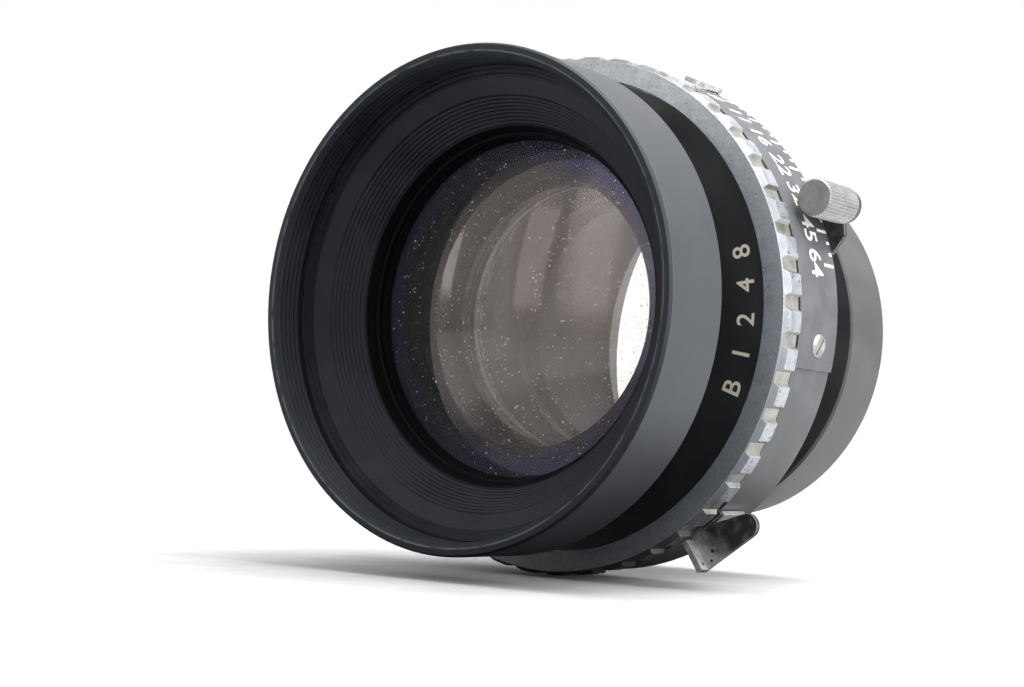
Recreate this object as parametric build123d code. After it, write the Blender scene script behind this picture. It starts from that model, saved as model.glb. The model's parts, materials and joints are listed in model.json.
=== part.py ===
from build123d import *
import os
from math import asin, atan2, cos, degrees, pi, radians, sin, sqrt

# A view-camera and enlarging lens in a leaf shutter. It is drawn along its optical axis, Z, from the
# front rim at 0 towards the rear, with dial angles counted from X. FRAME then lays it down as it is
# used: +Y rearward along the optical axis, +Z up, +X to the right seen from the front, and the origin
# on the optical axis in the plane that bears on the lens board. All lengths are in millimetres.

# ---- clearances ----
RUN = 0.05            # radial clearance of a turning or screwed fit
SLIDE = 0.05          # axial clearance between parts that turn on each other
BLADE_T = 0.10        # thickness of a blade
BLADE_PITCH = 0.16    # one blade's plane to the next

# ---- front cell ----
HOOD_R = 30.0         # outside of the hood, for a 60 mm push-on cap
RIM_CHAMFER = 0.5
RIM_WALL = 1.4        # leaves 28.6 for the bore of the M58 x 0.75 filter thread
FILTER_CHAMFER = 0.4
FILTER_LEN = 3.9
HOOD_SEAT_STEP = 0.3  # the hood ring is pressed in behind the filter thread
HOOD_SIDE = 10.5      # length of the full-size side
HOOD_BACK_DROP = 2.0  # the back of the hood slopes in over this length
NECK_WALL = 2.6       # outside the front glass
NECK_CORNER = 1.0
NECK_LEN = 10.5       # from the side's rear edge to the shutter's face
FRONT_THREAD_INSET = 12.1     # inside the case's outside, for M40 x 0.75 in the shutter
FRONT_THREAD_LEN = 4.4
FRONT_GLASS_INSET = 9.0   # front glass inside the hood's outside
FRONT_INNER_INSET = 2.5   # inner glass inside the front thread
FRONT_GLASS_AT = 13.2     # edge of the front glass behind the rim
BAND_STEP = 1.7           # smooth band of the hood ring, inside the filter thread
BAND_DROP = 1.9
BAND_LEN = 1.15
HOOD_RING_BEVEL = 0.95
BAFFLE_LIP = 0.8          # grooved cone outside the front glass, at its rear end
BAFFLE_LEN = 3.4
BAFFLE_GROOVES = 9
BAFFLE_BACKING = 3.2      # barrel's cone outside the glass, at the rear end of the grooves
GROOVE_DEPTH = 0.22
NOTCH_ANGLE = -58.0       # spanner notch of the hood ring
NOTCH_SIZE = (1.3, 1.6, 1.3)

# ---- shutter ----
FACE_LIP = 2.6        # speed ring's flat front outside the black face plate
FACE_T = 0.7
SHUTTER_TUBE_WALL = 2.1
DIAL_GAP = 0.22
DIAL_FRONT = 0.55     # the speed ring stands this far in front of the face plate
DIAL_SLOPE = 0.35     # its front falls back by this towards the teeth
DIAL_TOOTH = 0.52     # height of the ring's teeth over the case
DIAL_LEN = 3.85
DIAL_WEB_T = 0.8
CAM_TRACK_WIDTH = 1.2     # speed cams cut through the ring's web
CAM_TRACKS = ((-1.6, 20, 95), (0.4, 110, 95), (2.0, 225, 110))    # offset, start and sweep of each
DIAL_GAP_Z = 0.2
DIAL_TEETH = 46
DIAL_PHASE = 1.9      # dial angle of the first recess
DIAL_RECESS = 0.08    # floor of each recess over the case
DIAL_FLOOR_SHARE = 0.30   # floor's share of the teeth's pitch
DIAL_BEVEL = 1.0
DIAL_FLANK = 0.72     # each recess opens out by this on either side
CASE_R = 32.1         # shutter case
CASE_WALL = 1.5
CASE_STEP = 0.3       # each shoulder inside the case
CASE_LEN = 9.3
CASE_GAP = 0.2
BAY_DEPTH = 3.9       # room for the clockwork behind the speed ring
PLATE_T = 1.0         # mechanism plate
SHUTTER_RING_T = 0.5
IRIS_PLATE_T = 0.6
CAM_RING_T = 0.7
CASE_BEVEL = 0.1      # rear edge
SCALE_T = 0.25
SCALE_FROM = 1.2      # dial angles of the scale strip's ends
SCALE_TO = 101.2
SCREW_HEAD_R = 1.45
SCREW_SHANK_R = 0.7
SCREW_SLOT = 0.35
SCREW_CROWN = 0.3     # scale screws' heads stand this proud of the strip
SCREW_CROWN_IN = 0.4  # and draw in by this
SCREW_DEPTH = 1.1     # scale screws' reach into the case wall
SLOT_LEAN = -35.0
SCREW_INSET = 5.2     # degrees from the strip's end

# ---- seat, mounting tube and nut ----
SEAT_PROUD = 1.8      # seat plane behind the case's rear edge
SEAT_LAND = 2.4       # width of the face that bears on the lens board
SEAT_RECESS = 0.3
SEAT_SCREW_HEAD = 0.6
COLLAR_WALL = 1.25    # on the mounting tube; enters a 41.6 mm lens-board hole
COLLAR_LEN = 1.3
TUBE_STEP = 0.5       # inside the front thread, for the M39 x 0.75 mounting thread
TUBE_LEN = 7.6
TUBE_FLANGE = 2.0
TUBE_FLANGE_T = 0.9
TUBE_WALL = 1.5       # leaves M36 x 0.75 in the mounting tube
NUT_RIM = 5.1         # radial width of the nut
NUT_T = 2.4
NUT_AT = 3.0          # behind the seat plane: room for a lens board
NUT_SLOT = 3.0

# ---- rear cell ----
REAR_R = 25.25        # for a 50.5 mm push-on cap
REAR_LEN = 9.4
REAR_NECK_STEP = 2.5  # neck outside the mounting tube
REAR_NECK_LEN = 8.9
REAR_GLASS_INSET = 6.75
REAR_INNER_INSET = 2.4    # inner glass inside the rear thread
REAR_RIM_STEP = 3.0   # rim's bore outside the rear glass
REAR_LOCK_STEP = 1.6
REAR_CHAMFER = 0.3
REAR_LOCK_T = 1.5
SHELF = 1.2           # depth of the shelf that the rear meniscus rests on

# ---- iris and shutter blades ----
OPENING_INSET = 2.45  # blades' opening inside the front inner glass
PIVOT_INSET = 2.1     # blade pivots inside the case bore
DRIVE_OUTSET = 0.1    # drive pins outside the circle of pivots
LEAF_INSET = 1.9      # leaf edge inside the circle of pivots
PIVOT_BOSS_R = 1.4
PIN_R = 0.5
PIN_DEPTH = 0.55      # shutter blades' pivot pins in the mechanism plate
DRIVE_PIN_ANGLE = 8.0
DRIVE_BOSS_R = 1.1
SLOT_CLEAR = 0.1
RING_BORE_STEP = 0.95 # drive rings outside the opening
IRIS_BLADES = 7
IRIS_SPAN = 128.0
IRIS_CLOSED_R = 1.3       # radius left at the smallest stop
SHUTTER_BLADES = 5
SHUTTER_SPAN = 125.0
SHUTTER_OVERLAP = 1.1     # how far the closed blades pass the axis
PREVIEW_TURN = 20.0

# ---- aperture scale and its outside parts ----
STOP_WIDE = 23.9          # dial angle of the widest stop's mark
STOP_STEP = 7.8
STOP_COUNT = 8
KNOB_ANGLE = 66.8         # at the widest stop
KNOB_R = 2.28
KNOB_LEN = 7.4
KNOB_CLEAR = 0.72     # knob over the scale strip
KNOB_FLUTES = 34
FLUTE = 0.24          # side of the square that cuts each flute
KNOB_RIVET_R = 0.8
ARM_T = 0.8
ARM_INSET = 0.8           # aperture ring inside the case's rear edge
FOOT_REACH = 0.5
FOOT_ANGLE = 75.0
INDEX_WIDTH = 1.8
INDEX_T = 0.6
INDEX_CLEAR = 0.2         # index strap over the scale strip
INDEX_REACH = 4.8
CARRIER_ANGLE = 200.0
CARRIER_PIN_R = 0.45
CARRIER_INSET = 0.9       # pin inside the case bore
CARRIER_TO_SEAT = 1.1     # seat ring inside the pin's circle

# ---- cocking, release and preview levers ----
COCK_ANGLE = 146.5        # straight edge of the cocking lever at rest
COCK_TIP_ANGLE = 133.8
COCK_TURN = 45.0
COCK_LEN = 4.65           # the lever's reach past the scale strip
COCK_TIP_R = 1.45
COCK_TIP_OUT = 0.5        # the tip stands out past the straight edge's end
LEVER_T = 0.7
COCK_RING_RIM = 2.85      # radial width of the cocking ring
COCK_RING_T = 1.0
FLANGE_LEN = 1.4
FLANGE_T = 0.8
STRAP_LEN = 5.2
STRAP_CLEAR = 0.2         # strap over the case
STRAP_T = 0.6
RELEASE_ANGLE = 275.0
RELEASE_INSET = 3.2       # pivot inside the case bore
RELEASE_LEN = 4.9         # reach past the case
PREVIEW_ANGLE = 305.0
PREVIEW_LEN = 4.7         # reach past the case
TAB_T = 0.8
RELEASE_TAB_LEN = 5.0
PREVIEW_TAB_LEN = 3.0
LEVER_BOSS_R = 1.6
NOSE_ANGLE = 267.0        # the release lever's nose beside the cocking ring
NOSE_R = 0.7
NOSE_PIN_R = 0.4
NOSE_GAP = 0.15

# ---- sockets ----
CABLE_ANGLE = 256.0
CABLE_BOSS_R = 2.7
CABLE_SPIGOT_R = 2.0
CABLE_GAP = 0.4           # boss over the case
CABLE_BORE_R = 1.5
CABLE_LEN = 7.0
SYNC_ANGLE = 214.0
SYNC_R = 2.25
SYNC_SPIGOT_R = 2.05
SYNC_LEN = 4.2
SYNC_WALL = 0.45
SYNC_PIN_R = 0.4
SPIGOT_DEPTH = 0.9        # how far each boss is let into the case wall

# ---- retard train and springs ----
GEAR_MODULE = 0.3
GEAR_TEETH = 24
PINION_TEETH = 8
GEAR_T = 0.6
GEAR_CLEAR = 0.06
TRAIN_ANGLE = 38.0
TRAIN_INSET = 4.0         # arbors inside the case bore
FLYWHEEL_R = 2.3
FLYWHEEL_T = 0.7
ARBOR_R = 0.45
SHOULDER_R = 0.9          # shoulder that keeps each wheel off the plate
POST_DEPTH = 0.5          # each post is let into the mechanism plate this far
SPRING_POST_SIZE = 1.1
POST_LEN = 3.3
POST_INSET = 3.4          # post inside the case bore
WIRE_R = 0.22
SPRING_TURNS = 4
RELEASE_TURNS = 2
MAIN_SPRING_ANGLE = 205.0

# ---- axial places behind the front rim ----
SHUTTER_FACE = HOOD_SIDE + NECK_LEN
DIAL_AT = SHUTTER_FACE - DIAL_FRONT
WEB_AT = SHUTTER_FACE + FACE_T + DIAL_GAP_Z
DIAL_REAR = DIAL_AT + DIAL_LEN
CASE_AT = DIAL_REAR + CASE_GAP
CASE_REAR = CASE_AT + CASE_LEN
PLATE_AT = WEB_AT + DIAL_WEB_T + BAY_DEPTH
PLATE_REAR = PLATE_AT + PLATE_T
SHUTTER_LAYER = PLATE_REAR + SLIDE
SHUTTER_RING_AT = SHUTTER_LAYER + SHUTTER_BLADES * BLADE_PITCH + SLIDE
IRIS_PLATE_AT = SHUTTER_RING_AT + SHUTTER_RING_T + SLIDE
IRIS_LAYER = IRIS_PLATE_AT + IRIS_PLATE_T + SLIDE
CAM_RING_AT = IRIS_LAYER + IRIS_BLADES * BLADE_PITCH + SLIDE
BACK_WALL_AT = CAM_RING_AT + CAM_RING_T + SLIDE
SEAT = CASE_REAR + SEAT_PROUD
TUBE_END = SEAT + TUBE_LEN
REAR_SIDE_AT = TUBE_END + REAR_NECK_LEN
REAR_RIM = REAR_SIDE_AT + REAR_LEN
ARM_AT = CASE_REAR + 2 * SLIDE
COCK_RING_AT = PLATE_AT - SLIDE - COCK_RING_T
LEVER_AT = COCK_RING_AT - LEVER_T

# ---- radii that follow ----
FILTER_R = HOOD_R - RIM_WALL
HOOD_SEAT_R = FILTER_R - HOOD_SEAT_STEP
BAND_FRONT_R = FILTER_R - BAND_STEP
BAND_REAR_R = BAND_FRONT_R - BAND_DROP
FRONT_GLASS_R = HOOD_R - FRONT_GLASS_INSET
BAFFLE_REAR_R = FRONT_GLASS_R + BAFFLE_LIP
NECK_R = FRONT_GLASS_R + NECK_WALL
FRONT_THREAD_R = CASE_R - FRONT_THREAD_INSET
FRONT_INNER_R = FRONT_THREAD_R - FRONT_INNER_INSET
OPENING_R = FRONT_INNER_R - OPENING_INSET
RING_BORE_R = OPENING_R + RING_BORE_STEP
TUBE_R = FRONT_THREAD_R - TUBE_STEP
TUBE_FLANGE_R = TUBE_R + TUBE_FLANGE
COLLAR_R = TUBE_R + COLLAR_WALL
REAR_THREAD_R = TUBE_R - TUBE_WALL
REAR_NECK_R = TUBE_R + REAR_NECK_STEP
REAR_INNER_R = REAR_THREAD_R - REAR_INNER_INSET
REAR_GLASS_R = REAR_R - REAR_GLASS_INSET
SHUTTER_TUBE_R = FRONT_THREAD_R + SHUTTER_TUBE_WALL
CASE_BORE_R = CASE_R - CASE_WALL
RING_BORE_CASE = CASE_BORE_R - CASE_STEP
IRIS_BORE_CASE = CASE_BORE_R - 2 * CASE_STEP
STRIP_R = CASE_R + SCALE_T
DIAL_EDGE_R = CASE_R
DIAL_CROWN_R = CASE_R + DIAL_TOOTH
FACE_R = CASE_R - FACE_LIP
DIAL_BORE_R = FACE_R + DIAL_GAP
PIVOT_R = IRIS_BORE_CASE - PIVOT_INSET
DRIVE_PIN_RADIUS = PIVOT_R + DRIVE_OUTSET
BLADE_BODY_R = PIVOT_R - LEAF_INSET
CARRIER_RADIUS = IRIS_BORE_CASE - CARRIER_INSET
SEAT_R = CARRIER_RADIUS - CARRIER_TO_SEAT
SEAT_INNER_R = SEAT_R - SEAT_LAND
SEAT_SCREW_PCR = (COLLAR_R + SEAT_INNER_R) / 2
NUT_R = TUBE_R + NUT_RIM
KNOB_CENTRE_R = STRIP_R + KNOB_CLEAR + KNOB_R
ARM_RING_R = CASE_R - ARM_INSET
FOOT_R = CASE_R + FOOT_REACH
COCK_REACH = STRIP_R + COCK_LEN
COCK_RING_R = SHUTTER_TUBE_R + RUN + COCK_RING_RIM
RELEASE_PIVOT_R = CASE_BORE_R - RELEASE_INSET
RELEASE_REACH = CASE_R + RELEASE_LEN
PREVIEW_REACH = CASE_R + PREVIEW_LEN
TRAIN_R = CASE_BORE_R - TRAIN_INSET
SPRING_POST_R = CASE_BORE_R - POST_INSET
IRIS_TURN = STOP_STEP * (STOP_COUNT - 1)
IRIS_SWING = 2 * degrees(asin((OPENING_R - IRIS_CLOSED_R) / (2 * PIVOT_R)))
SHUTTER_SWING = 2 * degrees(asin((OPENING_R + SHUTTER_OVERLAP) / (2 * PIVOT_R)))

UPRIGHT = (Align.CENTER, Align.CENTER, Align.MIN)
FRAME = Location(Plane(origin=(0, -SEAT, 0), x_dir=(0, 0, 1), z_dir=(0, 1, 0)))


def turned(*corners):
    """Solid of revolution from (radius, axial place) corners."""
    return revolve(Plane.XZ * make_face(Polyline(*corners, close=True)), Axis.Z)


def ring(inner, outer, front, length):
    """Plain ring from its front face."""
    return turned((inner, front), (outer, front), (outer, front + length), (inner, front + length))


def disc(radius, front, length, at=(0, 0)):
    """Cylinder along the axis from its front face."""
    return Pos(at[0], at[1], front) * Cylinder(radius, length, align=UPRIGHT)


def polar(radius, angle):
    """Point at a dial angle."""
    return radius * cos(radians(angle)), radius * sin(radians(angle))


def prism(face, front, length):
    """Flat shape drawn across the axis, raised to a length."""
    return extrude(Pos(0, 0, front) * face, length, dir=(0, 0, 1))


def sector_face(inner, outer, start, end):
    """Flat part of a ring between two dial angles."""
    outside = CenterArc((0, 0), outer, start, end - start)
    inside = CenterArc((0, 0), inner, start, end - start)
    ends = [Line(inside @ 0, outside @ 0), Line(inside @ 1, outside @ 1)]
    return make_face([outside, inside] + ends)


def sector(inner, outer, start, end, front, length):
    """Part of a plain ring between two dial angles."""
    return prism(sector_face(inner, outer, start, end), front, length)


def radial_rod(radius, inner, outer, angle, axial):
    """Cylinder pointing away from the axis."""
    rod = Cylinder(radius, outer - inner, align=UPRIGHT)
    return Rot(0, 0, angle) * Pos(inner, 0, axial) * Rot(0, 90, 0) * rod


def save(name, *solids):
    """Write one node."""
    shape = solids[0] if len(solids) == 1 else Compound(list(solids))
    export_step(FRAME * shape, f"parts/{name}.step")


# ---------------------------------------------------------------- optics
def sag(bend, radius):
    """Depth of a spherical face at a radius; a positive bend is hollow towards the rear."""
    return bend - (1 if bend > 0 else -1) * sqrt(bend * bend - radius * radius)


def glass(radius, front_vertex, front_bend, thickness, rear_bend):
    """Lens element from its two spherical faces."""
    rear_vertex = front_vertex + thickness
    front_edge = (radius, front_vertex + sag(front_bend, radius))
    rear_edge = (radius, rear_vertex + sag(rear_bend, radius))
    half = radius / 2
    front = ThreePointArc((0, front_vertex), (half, front_vertex + sag(front_bend, half)), front_edge)
    rear = ThreePointArc(rear_edge, (half, rear_vertex + sag(rear_bend, half)), (0, rear_vertex))
    rim = Line(front_edge, rear_edge)
    axis = Line((0, rear_vertex), (0, front_vertex))
    return revolve(Plane.XZ * make_face([front, rim, rear, axis]), Axis.Z)


OUTER_BEND = 62.0         # strong outside face of each doublet
CEMENT_BEND = -260.0
INNER_BEND = 130.0        # hollow face of each doublet
CROWN_EDGE = 1.086        # thickness of the front doublet's crown at its rim
FLINT_T = 1.8
MENISCUS_BENDS = (70.0, 140.0)
MENISCUS_T = 3.2
AIR_GAP = 2.4             # doublet to meniscus, on the axis
SPACER_WALL = 1.2
LOCK_WALL = 1.4
REAR_MENISCUS_DEPTH = 5.2     # behind the inside of the case's rear wall
REAR_GLASS_DEPTH = 3.6        # inside the rear rim
REAR_BEND_SHARE = 1.1     # the rear group is bent a little less than the front one

CROWN_T = sag(OUTER_BEND, FRONT_GLASS_R) - sag(CEMENT_BEND, FRONT_GLASS_R) + CROWN_EDGE
FRONT_VERTEX = FRONT_GLASS_AT - sag(OUTER_BEND, FRONT_GLASS_R)
FRONT_FLINT = FRONT_VERTEX + CROWN_T
FRONT_HOLLOW = FRONT_FLINT + FLINT_T
FRONT_MENISCUS = FRONT_HOLLOW + AIR_GAP
FRONT_MENISCUS_BACK = FRONT_MENISCUS + MENISCUS_T + sag(MENISCUS_BENDS[1], FRONT_INNER_R)
FRONT_STACK_END = FRONT_HOLLOW + sag(INNER_BEND, FRONT_GLASS_R)

REAR_MENISCUS = BACK_WALL_AT + REAR_MENISCUS_DEPTH
REAR_MENISCUS_FRONT = REAR_MENISCUS - sag(REAR_BEND_SHARE * MENISCUS_BENDS[1], REAR_INNER_R)
REAR_MENISCUS_BACK = REAR_MENISCUS + MENISCUS_T
REAR_MENISCUS_EDGE = REAR_MENISCUS_BACK - sag(REAR_BEND_SHARE * MENISCUS_BENDS[0], REAR_INNER_R)
REAR_GLASS_BACK = REAR_RIM - REAR_GLASS_DEPTH
REAR_CEMENT = REAR_GLASS_BACK - CROWN_T
REAR_HOLLOW = REAR_CEMENT - FLINT_T
REAR_STACK_FRONT = REAR_HOLLOW - sag(REAR_BEND_SHARE * INNER_BEND, REAR_GLASS_R)
REAR_STACK_END = REAR_GLASS_BACK - sag(REAR_BEND_SHARE * OUTER_BEND, REAR_GLASS_R)


def spacer_ring(outer, wall, front_vertex, front_bend, rear_vertex, rear_bend):
    """Ring whose ends follow the two glass faces it keeps apart."""
    inner = outer - wall
    front = [(radius, front_vertex + sag(front_bend, radius) + SLIDE) for radius in (inner, outer)]
    rear = [(radius, rear_vertex + sag(rear_bend, radius) - SLIDE) for radius in (outer, inner)]
    return turned(*front, *rear)


def build_front_cell():
    """Hood barrel, its rings and the three front elements."""
    thread_end = SHUTTER_FACE + FRONT_THREAD_LEN
    shelf = FRONT_STACK_END + SLIDE
    front_bore = FRONT_GLASS_R + RUN
    inner_bore = FRONT_INNER_R + RUN
    ring_at = FILTER_CHAMFER + FILTER_LEN
    band_at = ring_at + HOOD_RING_BEVEL
    baffle_at = band_at + BAND_LEN
    baffle_end = baffle_at + BAFFLE_LEN
    step_at = (ring_at + band_at) / 2
    neck_at = HOOD_SIDE + HOOD_BACK_DROP
    barrel = turned(
        (FILTER_R + FILTER_CHAMFER, 0), (HOOD_R - RIM_CHAMFER / 2, 0),
        (HOOD_R, RIM_CHAMFER), (HOOD_R, HOOD_SIDE),
        (NECK_R + NECK_CORNER, neck_at), (NECK_R, neck_at + NECK_CORNER), (NECK_R, SHUTTER_FACE),
        (FRONT_THREAD_R - RUN, SHUTTER_FACE), (FRONT_THREAD_R - RUN, thread_end),
        (inner_bore, thread_end), (inner_bore, shelf), (front_bore, shelf), (front_bore, baffle_end + 1.6),
        (FRONT_GLASS_R + BAFFLE_BACKING, baffle_end), (HOOD_SEAT_R, band_at + 0.6),
        (HOOD_SEAT_R, ring_at), (FILTER_R, ring_at), (FILTER_R, FILTER_CHAMFER),
    )
    save("front_barrel", barrel)

    hood_ring = turned(
        (HOOD_SEAT_R - RUN, ring_at), (HOOD_SEAT_R - RUN, band_at + 0.5),
        (BAND_REAR_R + 2.2, baffle_at + 0.5), (BAND_REAR_R, baffle_at), (BAND_FRONT_R, band_at),
        (BAND_FRONT_R + 0.35, band_at), (BAND_FRONT_R + 0.45, step_at), (BAND_FRONT_R + 0.8, step_at),
        (BAND_FRONT_R + 0.9, ring_at),
    )
    notch = Rot(0, 0, NOTCH_ANGLE) * Pos(BAND_FRONT_R + 0.6, 0, ring_at) * Box(*NOTCH_SIZE)
    save("hood_ring", hood_ring - notch)

    pitch = BAFFLE_LEN / BAFFLE_GROOVES
    slope = (BAND_REAR_R - BAFFLE_REAR_R) / BAFFLE_LEN
    steps = []
    for number in range(BAFFLE_GROOVES):
        place = number * pitch
        radius = BAND_REAR_R - slope * place
        steps.append((radius, baffle_at + place))
        steps.append((radius + GROOVE_DEPTH - slope * pitch, baffle_at + place + 0.7 * pitch))
    lip = FRONT_GLASS_AT - 0.2
    baffle = turned(
        *steps, (BAFFLE_REAR_R, baffle_end), (FRONT_GLASS_R - 0.4, lip), (front_bore - RUN, lip),
        (front_bore - RUN, baffle_end + 1.4), (FRONT_GLASS_R + BAFFLE_BACKING - 0.3, baffle_end - 0.1),
        (BAND_REAR_R + 1.6, baffle_at + 0.5),
    )
    save("baffle_cone", baffle)

    save("front_crown_element", glass(FRONT_GLASS_R, FRONT_VERTEX, OUTER_BEND, CROWN_T, CEMENT_BEND))
    flint = glass(FRONT_GLASS_R - RUN, FRONT_FLINT, CEMENT_BEND, FLINT_T, INNER_BEND)
    save("front_flint_element", flint)
    meniscus = glass(FRONT_INNER_R, FRONT_MENISCUS, MENISCUS_BENDS[0], MENISCUS_T, MENISCUS_BENDS[1])
    save("front_meniscus", meniscus)
    spacer = spacer_ring(
        FRONT_INNER_R, SPACER_WALL, FRONT_HOLLOW, INNER_BEND, FRONT_MENISCUS, MENISCUS_BENDS[0])
    save("front_spacer", spacer)
    lock_in = FRONT_INNER_R - LOCK_WALL
    lock = turned(
        (lock_in, FRONT_MENISCUS_BACK + SLIDE), (FRONT_INNER_R, FRONT_MENISCUS_BACK + SLIDE),
        (FRONT_INNER_R, thread_end), (lock_in, thread_end),
    )
    save("front_lock_ring", lock)


def build_rear_cell():
    """Rear barrel and its three elements."""
    spigot_r = REAR_THREAD_R - RUN
    inner_bore = REAR_INNER_R + RUN
    rear_bore = REAR_GLASS_R + RUN
    rim_bore = REAR_GLASS_R + REAR_RIM_STEP
    lock_bore = REAR_GLASS_R + REAR_LOCK_STEP
    spigot_at = REAR_MENISCUS_FRONT - SHELF
    shelf = REAR_STACK_FRONT - SLIDE
    lock_at = REAR_STACK_END + SLIDE
    barrel = turned(
        (inner_bore - SHELF, spigot_at), (spigot_r, spigot_at), (spigot_r, TUBE_END),
        (REAR_NECK_R, TUBE_END), (REAR_NECK_R, REAR_SIDE_AT), (REAR_R - REAR_CHAMFER, REAR_SIDE_AT),
        (REAR_R, REAR_SIDE_AT + REAR_CHAMFER), (REAR_R, REAR_RIM - REAR_CHAMFER),
        (REAR_R - REAR_CHAMFER, REAR_RIM), (rim_bore, REAR_RIM), (lock_bore, lock_at + 1.6),
        (lock_bore, lock_at), (rear_bore, lock_at), (rear_bore, shelf), (inner_bore + 0.5, shelf - SHELF),
        (inner_bore, REAR_MENISCUS_EDGE + 1.5), (inner_bore, REAR_MENISCUS_FRONT - SLIDE),
        (inner_bore - SHELF, REAR_MENISCUS_FRONT - SLIDE),
    )
    save("rear_barrel", barrel)
    outer = -REAR_BEND_SHARE * OUTER_BEND
    inner = -REAR_BEND_SHARE * INNER_BEND
    bends = [-REAR_BEND_SHARE * bend for bend in MENISCUS_BENDS]
    save("rear_meniscus", glass(REAR_INNER_R, REAR_MENISCUS, bends[1], MENISCUS_T, bends[0]))
    save("rear_flint_element", glass(REAR_GLASS_R - RUN, REAR_HOLLOW, inner, FLINT_T, -CEMENT_BEND))
    save("rear_crown_element", glass(REAR_GLASS_R, REAR_CEMENT, -CEMENT_BEND, CROWN_T, outer))
    inside = REAR_INNER_R - LOCK_WALL
    inside_edge = REAR_MENISCUS_BACK + sag(bends[0], inside) + SLIDE
    keeper = turned(
        (inside, inside_edge), (REAR_INNER_R, REAR_MENISCUS_EDGE + SLIDE),
        (REAR_INNER_R, REAR_MENISCUS_EDGE + 1.4), (inside, REAR_MENISCUS_EDGE + 1.4),
    )
    save("rear_spacer", keeper)
    lock_end = lock_at + REAR_LOCK_T
    lock = turned(
        (REAR_GLASS_R - 0.5, lock_at), (lock_bore - RUN, lock_at), (lock_bore - RUN, lock_end),
        (REAR_GLASS_R + 0.8, lock_end),
    )
    slots = Pos(0, 0, lock_end) * Box(2 * rim_bore, 1.4, 1.0)
    save("rear_lock_ring", lock - slots)


# ---------------------------------------------------------------- case, seat and mounting
def case_slot(start, end, front, length):
    """Opening through the case wall between two dial angles."""
    return sector(IRIS_BORE_CASE - 1, CASE_R + SCALE_T + 1, start, end, front, length)


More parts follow.
